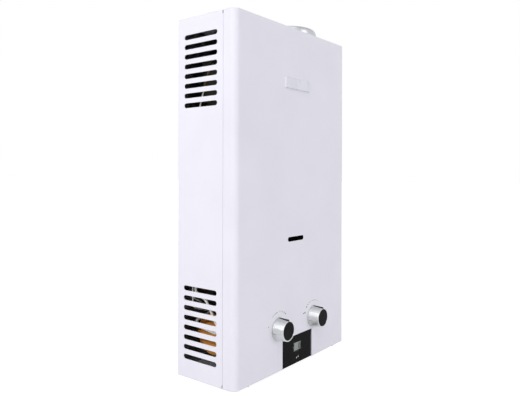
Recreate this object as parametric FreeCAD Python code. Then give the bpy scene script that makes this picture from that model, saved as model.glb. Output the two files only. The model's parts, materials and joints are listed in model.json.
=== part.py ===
import FreeCAD, Part
import math
import os

# Wall-hung instantaneous gas water heater, open-flued, lit by a battery spark.
# Millimetres. X to the right when facing the front, Z up, the wall is the plane y = 0 and the
# front faces -Y. Origin: middle of the back's bottom edge.

V = FreeCAD.Vector
X, Y, Z = V(1, 0, 0), V(0, 1, 0), V(0, 0, 1)

# ---- case ----
case_w, case_d, case_h = 335.0, 125.0, 590.0
sheet = 1.0                  # steel sheet of every case panel
cover_depth = 25.0           # side flanges of the front cover
cover_lip = 11.0             # its top and bottom flanges
corner_r = 11.0              # upright front corners
fold_r = 1.2                 # outside of the top and bottom folds
seam = 0.3                   # gap between cover and side panels
return_w, seam_return_less = 12.0, 4.0   # inward returns of the side panels; less at the seam
relief_w, relief_h = 1.5, 5.0   # notches at the ends of the seam
clear = 0.3                  # pieces set beside each other
slip = 0.1                   # bars and plugs in their holes
run_fit = 0.05               # radial clearance of shafts that turn or slide
past = 1.0                   # a cut runs this far past the faces that it opens

# ---- openings in the case ----
vent_len, vent_h, vent_pitch, vent_count = 73.0, 8.0, 16.0, 8
vent_back = 14.4             # rear end of the vents, from the wall
vent_top_inset = 32.3        # centre of the highest vent, below the top
vent_low = 34.5              # centre of the lowest vent
hang_spacing, hang_inset = 120.0, 32.0
keyhole_r, keyhole_slot_w, keyhole_slot_up = 5.0, 5.0, 11.0
foot_screw_z, foot_screw_r = 26.0, 2.75
sight_len, sight_h, sight_x, sight_z = 47.0, 7.0, -3.0, 218.7
pane_t, pane_edge = 0.8, 6.5
fold_h = 9.0                 # stiffening folds of top and bottom at the back
cover_screw_x = 130.0
hook_w, hook_front, hook_back = 20.0, 6.0, 12.0      # hooks of the cover under the top plate
ear_front = 9.0              # ears of the bottom plate over the cover's flange
screw_r, screw_hole_r, screw_head_r, screw_head_h, screw_len = 1.9, 2.0, 3.8, 2.2, 8.0
cross_len, cross_w, cross_deep = 3.6, 0.7, 1.1
side_screw_in = 12.0         # side screws, from the wall and from the seam

# ---- things on the cover ----
badge_w, badge_h, badge_t, badge_x, badge_z = 75.0, 18.0, 1.6, 1.0, 490.5
badge_corner_r, badge_edge_r = 1.5, 0.6
display_left, display_right, display_top = -43.5, 47.5, 49.0
display_recess, display_t, display_margin = 2.0, 2.0, 4.5
lens_w, lens_h, lens_x, lens_z = 24.6, 15.5, 4.0, 28.6
lens_t, lens_sunk, lens_ledge = 1.4, 0.2, 1.0
pillar_len, pillar_r, pillar_in = 4.0, 2.5, 6.0
board_t, board_low, board_in = 1.6, 5.0, 2.0
chip_w, chip_t = 12.0, 1.8
knob_x, knob_z = 54.0, 72.5
knob_base_r, knob_front_r, knob_h = 19.0, 17.4, 20.5
knob_stand_off = 0.5
cap_r, cap_depth, pointer_w, pointer_proud = 15.75, 4.0, 2.0, 0.25
hub_r, rib_t, rib_deep = 6.5, 1.6, 12.0
rim_round, rim_slope, shell_t = 0.4, 0.9, 2.2
cover_hole_room = 1.5        # holes in the cover round the hubs
spindle_r, spindle_flat, spindle_deep = 3.0, 1.0, 15.0     # the last: its length inside the hub
plug_r, plug_len, plug_end_room = 6.0, 20.0, 1.5

# ---- flue ----
flue_x, flue_from_wall = 72.0, 57.0
collar_r, collar_wall_h, collar_shoulder_r, collar_t = 52.0, 12.0, 9.0, 1.0
collar_foot_w = 7.0
neck_r, neck_above, lip_overlap, neck_room = 39.0, 8.0, 4.0, 1.0

# ---- heat exchanger ----
side_air = 41.5              # case side to chamber wall
coil_air, coil_air_back = 1.7, 4.7   # pipe round the chamber to what passes it, and to the back
copper = 1.0                 # chamber sheet
chamber_corner_r = 12.0
burner_z, burner_h = 150.0, 55.0
chamber_top_inset = 128.0
pipe_r, pipe_wall = 6.0, 0.8
tube_count, tube_edge = 5, 11.0
tube_below_top = 34.0
fin_t, fin_pitch, fin_h = 0.6, 7.5, 52.0
foot_w, foot_t = 16.0, 1.5
sight_room = 2.5
coil_turns = 2
coil_start_x = -72.0
hood_wall, hood_side_h, hood_top_inset = 1.0, 70.0, 28.0

# ---- burner ----
tray_side, tray_end, tray_t = 18.0, 8.0, 1.0     # tray inside the chamber's width and depth
ledge_w, ledge_t = 8.0, 2.0
blade_count, blade_w, blade_flame_w, blade_flame_h = 12, 6.0, 10.0, 9.0
blade_in, throat_r, throat_deep = 3.0, 2.4, 19.0
flame_slits, slit_w, slit_deep = 9, 1.6, 4.0
manifold_r, manifold_t, manifold_z_up, stub_r = 7.0, 1.0, 18.0, 6.0
jet_r, jet_thread_r, jet_room, jet_bore_r = 3.0, 1.95, 0.05, 0.5
gas_pipe_r, gas_pipe_t, gas_pipe_bend = 5.0, 1.0, 12.0

# ---- valves: the push rod's axis runs along X ----
axis_from_wall = 60.0
cover_gap = 15.5             # diaphragm cover to the case side
diaphragm_r, diaphragm_t = 33.0, 1.5
cover_flange_t, dome_r, dome_h, dome_t = 6.0, 23.0, 6.0, 3.0
body_flange_t, body_r, body_end_x = 10.0, 18.0, -40.0
plate_r, plate_t = 21.0, 2.0
rod_r, rod_travel = 3.0, 4.0
screw_circle_r, valve_screws = 28.0, 6
cap_screw_r, cap_screw_head_r, cap_screw_head_h = 2.0, 3.6, 3.5
inlet_r, outlet_r, outlet_h, relief_boss_r, relief_boss_h = 12.5, 10.0, 28.0, 9.0, 26.0
relief_plug_r, relief_plug_h = 4.0, 9.0
boss_r, boss_front = 11.0, 98.0      # spindle bosses, their ends from the wall
gas_left_x, gas_over_spindle = -12.0, 24.0
gas_front, gas_back = 24.0, 24.0     # body, each side of the axis
gas_low, gas_high = 24.5, 24.5       # body, below and above the axis
chamber_bore_r, seat_x, port_r, seat_w = 13.0, 34.0, 6.0, 2.0
bush_len, gas_neck_h, gas_port_r = 17.0, 6.0, 4.5
feed_drop, solenoid_well, spigot_r = 6.0, 12.0, 10.0
disc_lift, stem_len, stem_r, disc_socket = 2.0, 6.0, 5.0, 0.5
cap_spigot, cap_flats = 6.0, 30.0
spring_wire_r, spring_r, spring_turns = 0.6, 7.5, 6
disc_r, disc_t, end_cap_t = 10.5, 4.0, 5.0
solenoid_x, solenoid_r, solenoid_h = 10.0, 14.0, 32.0
solenoid_flange_t, spigot_h = 3.0, 4.0
plunger_r, plunger_len, plunger_travel = 4.0, 24.0, 3.0
plunger_pad_r, plunger_pad_t = 7.0, 3.0

# ---- flow switch between the valves ----
ring_x, ring_t, ring_r = -24.0, 3.1, 7.0
lever_t, lever_w, lever_foot_up = 1.2, 9.4, 4.5
pivot_up, pivot_r, shelf_up = 21.5, 1.0, 26.5
bridge_t, bridge_w, bridge_low, switch_ear_t = 1.5, 24.0, 14.0, 1.2
switch_h, switch_w, button_out, tag_len, tag_t = 11.0, 20.0, 1.7, 6.0, 0.8

# ---- connections below the case ----
thread_r, thread_drop, port_bore_r = 10.48, 25.0, 7.0
groove_r, groove_drop, union_r = 9.5, 0.5, 10.0      # run-out groove above the thread; neck up to the washer
collar_nut_r, collar_nut_h = 14.0, 5.0
washer_t = 1.5
flats, flats_h = 24.0, 10.0                  # spanner flats
water_port_drop = 32.5                       # inlet port, below the valve's axis
hot_pipe_low, socket_deep, socket_wall = 40.0, 2.0, 2.0      # the hot pipe's end in its socket
cold_offset, relief_offset = 52.0, 80.0      # from the diaphragm cover
gas_offset, hot_gap = -10.0, 3.0             # from the gas knob; from the gas valve's end cap
relief_r, relief_drop, relief_flange_t = 7.0, 10.0, 3.0
relief_cap_r, relief_cap_h, relief_cap_over = 9.0, 12.0, 4.0
drain_seat_r, drain_seat_deep, cap_ribs, cap_rib_r = 3.0, 8.0, 12, 1.0

# ---- battery box for two D cells side by side ----
cell_r, cell_len = 17.1, 61.5
cell_room = 2.0
battery_wall = 2.0
battery_back = 17.6          # its back, from the wall
door_t, hinge_r, pin_r, hinge_back, hinge_drop = 2.7, 2.3, 1.2, 3.0, 3.5
lug_in, lug_w, lug_plate_t = 5.0, 4.0, 3.0
catch_w, catch_t, catch_h, grip_w, grip_out = 8.0, 1.2, 8.0, 16.0, 1.5
catch_room = 1.2             # the catch swings out as the door opens
contact_h, strip_w, strip_t, cone_r, cone_h = 5.0, 10.0, 0.6, 8.0, 3.5

# ---- electrics ----
spark_box = (30.0, 40.0, 58.0)
spark_box_side, spark_box_z = 4.0, 154.0
spark_socket_r, spark_socket_h, spark_plug_h = 3.5, 4.0, 6.0
electrode_z, electrode_y = 218.0, (-72.0, -56.0)
electrode_r, electrode_len, electrode_out, wire_tip_r = 3.5, 30.0, 20.0, 0.9
lead_r, sleeve_r, ht_lead_r = 1.3, 2.2, 2.0

# ---- worked out ----
half_w = case_w / 2
wall_x = half_w - sheet                  # inside of the side panels
front_y = -case_d
seam_y = front_y + cover_depth
lip_y = front_y + cover_lip
flue_y = -flue_from_wall
coil_room = 2 * pipe_r + clear           # the coil stands this far out from the chamber
chamber_x = half_w - side_air
chamber_front = front_y + sheet + coil_air + coil_room
chamber_back = -(sheet + coil_air_back + coil_room)
chamber_z = burner_z + burner_h
chamber_top = case_h - chamber_top_inset
tube_z = chamber_top - tube_below_top
hood_top = case_h - hood_top_inset
axis_y, axis_z = -axis_from_wall, knob_z
cover_x = -half_w + cover_gap            # outer face of the diaphragm cover's dome
flange_x = cover_x + dome_h              # outer face of its flange
diaphragm_x = flange_x + cover_flange_t
body_x = diaphragm_x + diaphragm_t
cold_x, relief_x = cover_x + cold_offset, cover_x + relief_offset
gas_right_x = knob_x + gas_over_spindle
disc_x = seat_x + disc_lift              # face of the gas valve's disc
gas_x = knob_x + gas_offset
feed_z = axis_z + gas_high - feed_drop   # gas outlet in front of the valve
solenoid_seat_z = axis_z + gas_high - solenoid_well
cell_bay_w = 2 * cell_r + cell_room
cell_bay_d = 4 * cell_r + cell_room
cell_bay_h = cell_len + 2 * contact_h
battery_x1 = wall_x - return_w - clear
battery_x0 = battery_x1 - cell_bay_w - 2 * battery_wall
battery_y1 = -battery_back
battery_y0 = battery_y1 - cell_bay_d - 2 * battery_wall
hot_x = gas_right_x + end_cap_t + hot_gap + pipe_r
hinge_y, hinge_z = battery_y1 + hinge_back, -hinge_drop


# ---------------------------------------------------------------- helpers

def box(x0, x1, y0, y1, z0, z1):
    """Block between two corners."""
    return Part.makeBox(x1 - x0, y1 - y0, z1 - z0, V(x0, y0, z0))


def bar(x, y, z, axis, length, radius):
    """Round bar from a point along an axis."""
    return Part.makeCylinder(radius, length, V(x, y, z), axis)


def bored(x, y, z, axis, length, radius):
    """Round cut of that length, run past both its ends."""
    start = V(x, y, z) - axis * past
    return Part.makeCylinder(radius, length + 2 * past, start, axis)


def turned(profile, origin, axis=Z):
    """Solid turned from (radius, height) points about an axis through the origin point."""
    points = [V(r, 0, h) for r, h in profile]
    solid = Part.Face(Part.makePolygon(points + points[:1])).revolve(V(0, 0, 0), Z, 360)
    solid.Placement = FreeCAD.Placement(V(*origin), FreeCAD.Rotation(Z, axis))
    return solid


def prism(points, sweep):
    """Flat outline of points carried along a vector."""
    corners = [V(*p) for p in points]
    return Part.Face(Part.makePolygon(corners + corners[:1])).extrude(sweep)


def hexagon(x, y, z, axis, across_flats, length):
    """Hexagon bar along an axis."""
    radius = across_flats / math.sqrt(3)
    points = [(radius * math.cos(a), radius * math.sin(a), 0)
              for a in (math.radians(60 * k) for k in range(6))]
    solid = prism(points, V(0, 0, length))
    solid.Placement = FreeCAD.Placement(V(x, y, z), FreeCAD.Rotation(Z, axis))
    return solid


def long_hole(centre, along, through, length, width, depth):
    """Full-round slot: centre of its mouth, the way it runs, the way it goes in."""
    half, middle = (length - width) / 2, V(*centre)
    ends = [middle - along * half, middle + along * half]
    side = through.cross(along) * (width / 2)
    block = prism([tuple(p) for p in (ends[0] - side, ends[1] - side, ends[1] + side, ends[0] + side)],
                  through * depth)
    return block.fuse([Part.makeCylinder(width / 2, depth, end, through) for end in ends])


def joined(first, *others):
    """One solid from pieces that meet."""
    return first.fuse(list(others)).removeSplitter()


def path_along(points, bend):
    """Straight runs joined by tangent arcs."""
    stops = [V(*p) for p in points]
    edges, start = [], stops[0]
    for before, corner, after in zip(stops, stops[1:], stops[2:]):
        back, ahead = before - corner, after - corner
        room = 0.49 * min(back.Length, ahead.Length)
        back.normalize()
        ahead.normalize()
        half_turn = (math.pi - back.getAngle(ahead)) / 2
        reach = min(bend * math.tan(half_turn), room)
        radius = reach / math.tan(half_turn)
        inward = (back + ahead).normalize()
        centre = corner + inward * (radius / math.cos(half_turn))
        enter, leave = corner + back * reach, corner + ahead * reach
        edges.append(Part.LineSegment(start, enter).toShape())
        edges.append(Part.Arc(enter, centre - inward * radius, leave).toShape())
        start = leave
    edges.append(Part.LineSegment(start, stops[-1]).toShape())
    return Part.Wire(edges)


def swept(points, radius, bend):
    """Round bar bent along the points."""
    path = path_along(points, bend)
    start = V(*points[0])
    ring = Part.Wire(Part.makeCircle(radius, start, V(*points[1]) - start))
    return path.makePipeShell([ring], True, False)


def pipe(points, bend):
    """Copper pipe bent along the points."""
    return swept(points, pipe_r, bend).cut(swept(points, pipe_r - pipe_wall, bend))


def group(solids):
    return Part.makeCompound(list(solids))


def save(name, shape):
    shape.exportStep(os.path.join("parts", name + ".step"))


# ---------------------------------------------------------------- case

def cover_outline(inset, end_y):
    """Plan of the front cover: two sides and a front with rounded corners."""
    half, front, r = half_w - inset, front_y + inset, corner_r - inset
    mid = r * (1 - math.sqrt(0.5))
    left, right = -half, half
    points = {
        "left_back": V(left, end_y, 0), "left_up": V(left, front + r, 0),
        "left_mid": V(left + mid, front + mid, 0), "left_in": V(left + r, front, 0),
        "right_in": V(right - r, front, 0), "right_mid": V(right - mid, front + mid, 0),
        "right_up": V(right, front + r, 0), "right_back": V(right, end_y, 0),
    }
    edges = [
        Part.LineSegment(points["left_back"], points["left_up"]),
        Part.Arc(points["left_up"], points["left_mid"], points["left_in"]),
        Part.LineSegment(points["left_in"], points["right_in"]),
        Part.Arc(points["right_in"], points["right_mid"], points["right_up"]),
        Part.LineSegment(points["right_up"], points["right_back"]),
        Part.LineSegment(points["right_back"], points["left_back"]),
    ]
    return Part.Face(Part.Wire([edge.toShape() for edge in edges]))


def front_cover():
    """Deep-drawn pan with its openings; two hooks at the top and two screw holes at the bottom."""
    end_y = seam_y - seam / 2
    outside = cover_outline(0, end_y).extrude(Z * case_h)
    folds = [e for e in outside.Edges
             if e.BoundBox.ZLength < 0.01 and e.BoundBox.YMin < end_y - 0.01]
    outside = outside.makeFillet(fold_r, folds)
    inside = cover_outline(sheet, end_y + past).extrude(Z * (case_h - 2 * sheet))
    inside.translate(Z * sheet)
    flange_end = lip_y - seam / 2
    wide = half_w + past
    trims = [
        box(-wide, wide, flange_end, seam_y, case_h - sheet - seam / 2, case_h + past),
        box(-wide, wide, flange_end, seam_y, -past, sheet + seam / 2),
    ]
    shell = outside.cut([inside] + trims)

    turned_edge = box(display_left - sheet, display_right + sheet, front_y, front_y + display_recess,
                      0, display_top + sheet)
    hook_z = case_h - 2 * sheet - seam / 2
    hooks = []
    for x in (-cover_screw_x, cover_screw_x):
        left, right, front = x - hook_w / 2, x + hook_w / 2, lip_y - hook_front
        hooks.append(box(left, right, front, flange_end, hook_z, case_h - sheet))
        hooks.append(box(left, right, front, lip_y + hook_back, hook_z, hook_z + sheet))
    shell = joined(shell, turned_edge, *hooks)

    openings = [
        box(display_left, display_right, front_y - past, lip_y, -past, display_top),
        long_hole((sight_x, front_y - past, sight_z), X, Y, sight_len, sight_h, sheet + 2 * past),
    ]
    for side in (-1, 1):
        openings.append(bored(side * knob_x, front_y, knob_z, Y, sheet, hub_r + cover_hole_room))
        openings.append(bored(side * cover_screw_x, lip_y - cover_lip / 2, 0, Z, sheet, screw_hole_r))
    return shell.cut(openings)


def vent_rows():
    """Heights of the vent centres: one row of eight near the top, one near the bottom."""
    upper = [case_h - vent_top_inset - vent_pitch * k for k in range(vent_count)]
    lower = [vent_low + vent_pitch * k for k in range(vent_count)]
    return upper + lower


def side_panel():
    """Right side: vented wall with returns along the back, top, bottom and cover seam."""
    edge_y = seam_y + seam / 2
    high, low = case_h - sheet, sheet
    wall = box(wall_x, half_w, edge_y, 0, low, high)
    inner = wall_x - return_w
    returns = [
        box(inner, wall_x, -2 * sheet, -sheet, low + 2 * sheet, high - 2 * sheet),
        box(inner, wall_x, edge_y, -2 * sheet, high - sheet, high),
        box(inner, wall_x, edge_y, -2 * sheet, low, low + sheet),
        box(inner + seam_return_less, wall_x, edge_y, edge_y + sheet,
            relief_h + 3 * sheet, case_h - relief_h - 3 * sheet),
    ]
    panel = joined(wall, *returns)
    cuts = [long_hole((wall_x - past, -vent_back - vent_len / 2, z), Y, X, vent_len, vent_h, sheet + 2 * past)
            for z in vent_rows()]
    for z0, z1 in ((high - relief_h, high + past), (low - past, low + relief_h)):
        cuts.append(box(inner - past, half_w + past, edge_y - past, edge_y + relief_w, z0, z1))
    cuts += [bored(x, y, low, Z, sheet, screw_hole_r) for x, y in side_screw_places() if x > 0]
    return panel.cut(cuts)


def side_screw_places():
    return [(side * (wall_x - return_w / 2), y)
            for side in (-1, 1) for y in (-side_screw_in, seam_y + side_screw_in)]


def cover_screw_places():
    return [(side * cover_screw_x, lip_y - cover_lip / 2) for side in (-1, 1)]


def back_plate():
    """Flat back with two hanging keyholes above and two screw holes below."""
    plate = box(-wall_x, wall_x, -sheet, 0, sheet, case_h - sheet)
    holes = []
    for x in (-hang_spacing / 2, hang_spacing / 2):
        z = case_h - hang_inset
        holes.append(bored(x, -sheet, z, Y, sheet, keyhole_r))
        holes.append(long_hole((x, -sheet - past, z + keyhole_slot_up / 2), Z, Y,
                               keyhole_slot_up + keyhole_slot_w, keyhole_slot_w, sheet + 2 * past))
        holes.append(bored(x, -sheet, foot_screw_z, Y, sheet, foot_screw_r))
    return plate.cut(holes)


def top_plate():
    """Top with a hole for the flue neck and a stiffening fold at the back."""
    plate = box(-half_w, half_w, lip_y, 0, case_h - sheet, case_h)
    fold = box(-wall_x + 2 * return_w, wall_x - 2 * return_w, -2 * sheet, -sheet,
               case_h - sheet - fold_h, case_h - sheet)
    return joined(plate, fold).cut(bored(flue_x, flue_y, case_h - sheet, Z, sheet, neck_r + neck_room))


def bottom_plate():
    """Bottom with the pipe holes, the battery opening and two ears over the cover's flange."""
    plate = box(-half_w, half_w, lip_y, 0, 0, sheet)
    fold = box(-wall_x + 2 * return_w, battery_x0 - 2 * sheet, -2 * sheet, -sheet, sheet, sheet + fold_h)
    ear_end = (lip_y + battery_y0) / 2           # halfway to the battery box
    ears = [box(x - hook_w / 2, x + hook_w / 2, lip_y - ear_front, ear_end, sheet, 2 * sheet)
            for x, y in cover_screw_places()]
    above = sheet + past
    cuts = [bored(x, axis_y, 0, Z, sheet, thread_r + clear) for x in (cold_x, gas_x, hot_x)]
    cuts.append(bored(relief_x, axis_y, 0, Z, sheet, relief_r + clear))
    cuts.append(box(battery_x0 + battery_wall, battery_x1 - battery_wall,
                    battery_y0 + battery_wall, battery_y1 - battery_wall, -past, above))
    cuts += [box(x0 - clear, x1 + clear, hinge_y - hinge_r - clear, hinge_y + hinge_r + clear, -past, above)
             for x0, x1 in hinge_lugs()]
    cuts += [bored(x, y, 0, Z, 2 * sheet, screw_hole_r)
             for x, y in side_screw_places() + cover_screw_places()]
    return joined(plate, fold, *ears).cut(cuts)


def case_screws():
    """Pan-head screws driven up through the bottom."""
    screws = []
    for x, y in side_screw_places() + cover_screw_places():
        head = turned([(0, -screw_head_h), (screw_head_r * 0.7, -screw_head_h), (screw_head_r, -0.8),
                       (screw_head_r, 0), (screw_r, 0), (screw_r, screw_len - 1), (screw_r * 0.5, screw_len),
                       (0, screw_len)], (x, y, 0))
        cross = [box(x - a, x + a, y - b, y + b, -screw_head_h - past, -screw_head_h + cross_deep)
                 for a, b in ((cross_len / 2, cross_w / 2), (cross_w / 2, cross_len / 2))]
        screws.append(head.cut(cross))
    return group(screws)


def name_badge():
    """Raised bare plate with rounded edges, stuck on the cover."""
    plate = box(badge_x - badge_w / 2, badge_x + badge_w / 2, front_y - badge_t, front_y,
                badge_z - badge_h / 2, badge_z + badge_h / 2)
    uprights = [e for e in plate.Edges if e.BoundBox.YLength > badge_t / 2]
    plate = plate.makeFillet(badge_corner_r, uprights)
    rim = [e for e in plate.Edges if e.BoundBox.YMax < front_y - badge_t / 2]
    return plate.makeFillet(badge_edge_r, rim)


def window_pane():
    """Mica pane behind the sight slot."""
    half_len, half_h = sight_len / 2 + pane_edge, sight_h / 2 + pane_edge
    return box(sight_x - half_len, sight_x + half_len, front_y + sheet, front_y + sheet + pane_t,
               sight_z - half_h, sight_z + half_h)


# ---------------------------------------------------------------- display

display_y = front_y + display_recess          # front of the display panel


def lens_block(grow, y0, y1):
    return box(lens_x - lens_w / 2 - grow, lens_x + lens_w / 2 + grow, y0, y1,
               lens_z - lens_h / 2 - grow, lens_z + lens_h / 2 + grow)


def display_pillars():
    """Screw pillars behind the display panel: x and z."""
    return [(x, z) for x in (display_left + pillar_in, display_right - pillar_in)
            for z in (board_low + board_in + board_in, display_top - pillar_in)]


def display_panel():
    """Black panel behind the cover's turned-in opening, down to the cover's bottom edge."""
    middle = box(display_left + slip, display_right - slip, display_y, display_y + display_t,
                 0, display_top + display_margin)
    wings = box(display_left - display_margin, display_right + display_margin, display_y,
                display_y + display_t, sheet + clear, display_top + display_margin)
    pillars = [bar(x, display_y + display_t, z, Y, pillar_len, pillar_r) for x, z in display_pillars()]
    window = lens_block(slip, display_y - past, display_y + display_t + past)
    ledge_y = display_y + lens_sunk + lens_t
    ledge = lens_block(-lens_ledge, ledge_y, display_y + display_t)
    frame = lens_block(slip, ledge_y, display_y + display_t).cut(ledge)
    return joined(joined(middle, wings, *pillars).cut(window), frame)


def display_window():
    """Clear lens set in the panel, a little below its face."""
    return lens_block(0, display_y + lens_sunk, display_y + lens_sunk + lens_t)


def display_board():
    """Circuit board on the pillars with the glass of the temperature display in front of it."""
    board_y = display_y + display_t + pillar_len
    board = box(display_left + board_in, display_right - board_in, board_y, board_y + board_t,
                board_low, display_top - board_in)
    glass = lens_block(-lens_ledge / 2, display_y + display_t + slip, board_y)
    chip_x, chip_z = display_left + 17.5, lens_z - 8.6
    chip = box(chip_x - chip_w, chip_x, board_y + board_t, board_y + board_t + chip_t,
               chip_z - chip_w / 2, chip_z + chip_w / 2)
    return joined(board, glass, chip)


# ---------------------------------------------------------------- knobs and spindles

knob_back = front_y - knob_stand_off
knob_face = knob_back - knob_h
spindle_tip = knob_back - spindle_deep


def knob_barrel(x):
    """Tapered metal shell of a knob, split on top for the pointer."""
    shell = turned([(knob_base_r - rim_round, 0), (knob_base_r, rim_round),
                    (knob_front_r + slip, knob_h - rim_slope), (knob_front_r - 0.5, knob_h),
                    (cap_r + slip, knob_h), (cap_r + slip, knob_h - cap_depth - 1),
                    (knob_base_r - shell_t, 0)], (x, knob_back, knob_z), V(0, -1, 0))
    half = pointer_w / 2 + slip
    groove = box(x - half, x + half, knob_face - past, knob_back + past,
                 knob_z + cap_r - 2, knob_z + knob_base_r + past)
    return shell.cut(groove)


def knob_core(x):
    """Black cap with its pointer rib along the barrel, hub and inner ribs."""
    cap = bar(x, knob_face, knob_z, Y, cap_depth, cap_r)
    hub = bar(x, knob_face, knob_z, Y, knob_h - 1.5, hub_r)
    rib_end = cap_r - 0.8
    ribs = [box(x - a, x + a, knob_face + 1, knob_face + 1 + rib_deep, knob_z - b, knob_z + b)
            for a, b in ((rib_end, rib_t / 2), (rib_t / 2, rib_end))]
    low, proud = cap_r - 2.5, pointer_proud
    slope = (knob_base_r - knob_front_r) / knob_h
    pointer = prism([(x - pointer_w / 2, knob_face, knob_z + low),
                     (x - pointer_w / 2, knob_face, knob_z + knob_front_r - 0.5),
                     (x - pointer_w / 2, knob_face + 1, knob_z + knob_front_r + proud),
                     (x - pointer_w / 2, knob_back - 0.5, knob_z + knob_base_r - slope * 0.5 + proud),
                     (x - pointer_w / 2, knob_back - 0.5, knob_z + knob_base_r - 3),
                     (x - pointer_w / 2, knob_face + cap_depth + 1, knob_z + low)], X * pointer_w)
    bore = spindle_bar(x, spindle_r + run_fit, spindle_flat - run_fit, spindle_tip - 0.5, knob_back + past)
    return joined(cap, hub, pointer, *ribs).cut(bore)


def spindle_bar(x, radius, flat, y0, y1):
    """D-shaped bar: a round one with a flat on its underside."""
    return bar(x, y0, knob_z, Y, y1 - y0, radius).cut(
        box(x - radius, x + radius, y0 - 1, y1 + 1, knob_z - radius - 1, knob_z - radius + flat))


def spindle(x):
    """Valve plug with its long D-shaped shaft."""
    plug = bar(x, -boss_front + 1, axis_z, Y, plug_len, plug_r)
    shaft = spindle_bar(x, spindle_r, spindle_flat, spindle_tip, -boss_front + 2)
    return joined(plug, shaft)


def plug_bore(x):
    """Hole that a spindle's plug turns in, with room for it inside."""
    return bar(x, -boss_front - past, axis_z, Y, plug_len + plug_end_room + past, plug_r + run_fit)


# ---------------------------------------------------------------- flue

def flue_collar():
    """Drawn outlet collar: upright wall, rounded shoulder and a lip turned down inside the neck."""
    top = collar_wall_h + collar_shoulder_r
    lip_out = neck_r - hood_wall - clear
    lip_in, lip_low = lip_out - collar_t, neck_above - lip_overlap

    def shoulder(radius):
        centre_r = collar_r - collar_shoulder_r
        return [(centre_r + radius * math.cos(a), collar_wall_h + radius * math.sin(a))
                for a in (math.radians(10 * k) for k in range(10))]

    profile = [(collar_r - collar_foot_w, 0), (collar_r, 0)] + shoulder(collar_shoulder_r)
    profile += [(lip_in + 1.5, top), (lip_in, top - 1.5), (lip_in, lip_low), (lip_out, lip_low),
                (lip_out, top - 1.5 - collar_t), (lip_out + 0.5, top - collar_t)]
    profile += list(reversed(shoulder(collar_shoulder_r - collar_t)))
    profile += [(collar_r - collar_t, collar_t), (collar_r - collar_foot_w, collar_t)]
    return turned(profile, (flue_x, flue_y, case_h))


def draft_hood():
    """Sheet hood that gathers the burnt gas and leads it across to the round neck."""
    side, low = chamber_x + clear + hood_wall, chamber_top - 8
    shoulder, peak_x = chamber_top + hood_side_h - 8, flue_x - neck_r - 22

    def profile(inset, drop):
        y = chamber_front - clear - hood_wall + inset
        depth = chamber_back - chamber_front + 2 * (clear + hood_wall - inset)
        s = side - inset
        return prism([(-s, y, low - drop), (-s, y, shoulder - inset / 2),
                      (peak_x + inset / 2, y, hood_top - inset), (s, y, hood_top - inset),
                      (s, y, low - drop)], Y * depth)

    neck_low, neck_top = hood_top - hood_wall, case_h + neck_above
    neck = bar(flue_x, flue_y, neck_low, Z, neck_top - neck_low, neck_r)
    throat = bar(flue_x, flue_y, neck_low - 2, Z, neck_top - neck_low + 4, neck_r - hood_wall)
    return joined(profile(0, 0), neck).cut([profile(hood_wall, 1), throat])


# ---------------------------------------------------------------- heat exchanger

def tube_rows():
    """Depths of the exchanger tubes, evenly spaced through the chamber."""
    first, last = chamber_back - tube_edge, chamber_front + tube_edge
    return [first + (last - first) * k / (tube_count - 1) for k in range(tube_count)]


def tube_holes(x0, x1):
    return [bored(x0, y, tube_z, X, x1 - x0, pipe_r + slip) for y in tube_rows()]


def rounded_box(inset, z0, z1):
    """Upright block of the chamber's plan, its corners rounded so that the coil can follow them."""
    block = box(-chamber_x + inset, chamber_x - inset, chamber_front + inset, chamber_back - inset, z0, z1)
    return block.makeFillet(chamber_corner_r - inset, [e for e in block.Edges if e.BoundBox.ZLength > 1])


def bracket_foot(x, y, z, height):
    """Foot from a piece's back to the back plate: a shelf and an upright pad."""
    half = foot_w / 2
    return [box(x - half, x + half, y, -sheet, z, z + foot_t),
            box(x - half, x + half, -sheet - foot_t, -sheet, z, z + height)]


def combustion_chamber():
    """Copper box open above and below, with a sight hole and two ears to the back plate."""
    outer = rounded_box(0, chamber_z, chamber_top)
    inner = rounded_box(copper, chamber_z - past, chamber_top + past)
    ear_z = tube_z - fin_h / 2 - 8
    ears = []
    for side in (-1, 1):
        ears += bracket_foot(side * (chamber_x - 30), chamber_back, ear_z, 16)
    sight = long_hole((sight_x, chamber_front - past, sight_z), X, Y, sight_len + 2 * sight_room,
                      sight_h + 2 * sight_room, copper + 2 * past)
    electrodes = [bored(-chamber_x, y, electrode_z, X, copper, electrode_r + slip) for y in electrode_y]
    return joined(outer.cut(inner), *ears).cut(tube_holes(-chamber_x, chamber_x) + [sight] + electrodes)


def exchanger_fins():
    """Copper fins threaded on the tubes."""
    room = chamber_x - chamber_corner_r
    count = int(2 * room / fin_pitch)
    start = -fin_pitch * count / 2
    plate = box(0, fin_t, chamber_front + copper + clear, chamber_back - copper - clear,
                tube_z - fin_h / 2, tube_z + fin_h / 2).cut(tube_holes(0, fin_t))
    fins = []
    for k in range(count + 1):
        fin = plate.copy()
        fin.translate(X * (start + k * fin_pitch))
        fins.append(fin)
    return group(fins)


coil_gap = pipe_r + clear                       # coil centre line to the chamber wall
coil_low = chamber_z + 34.0
coil_top = tube_z - 84.0
union_z = tube_z - 46.0
side_run_x = chamber_x + coil_room + coil_air + pipe_r      # pipes beside the exchanger


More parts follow.
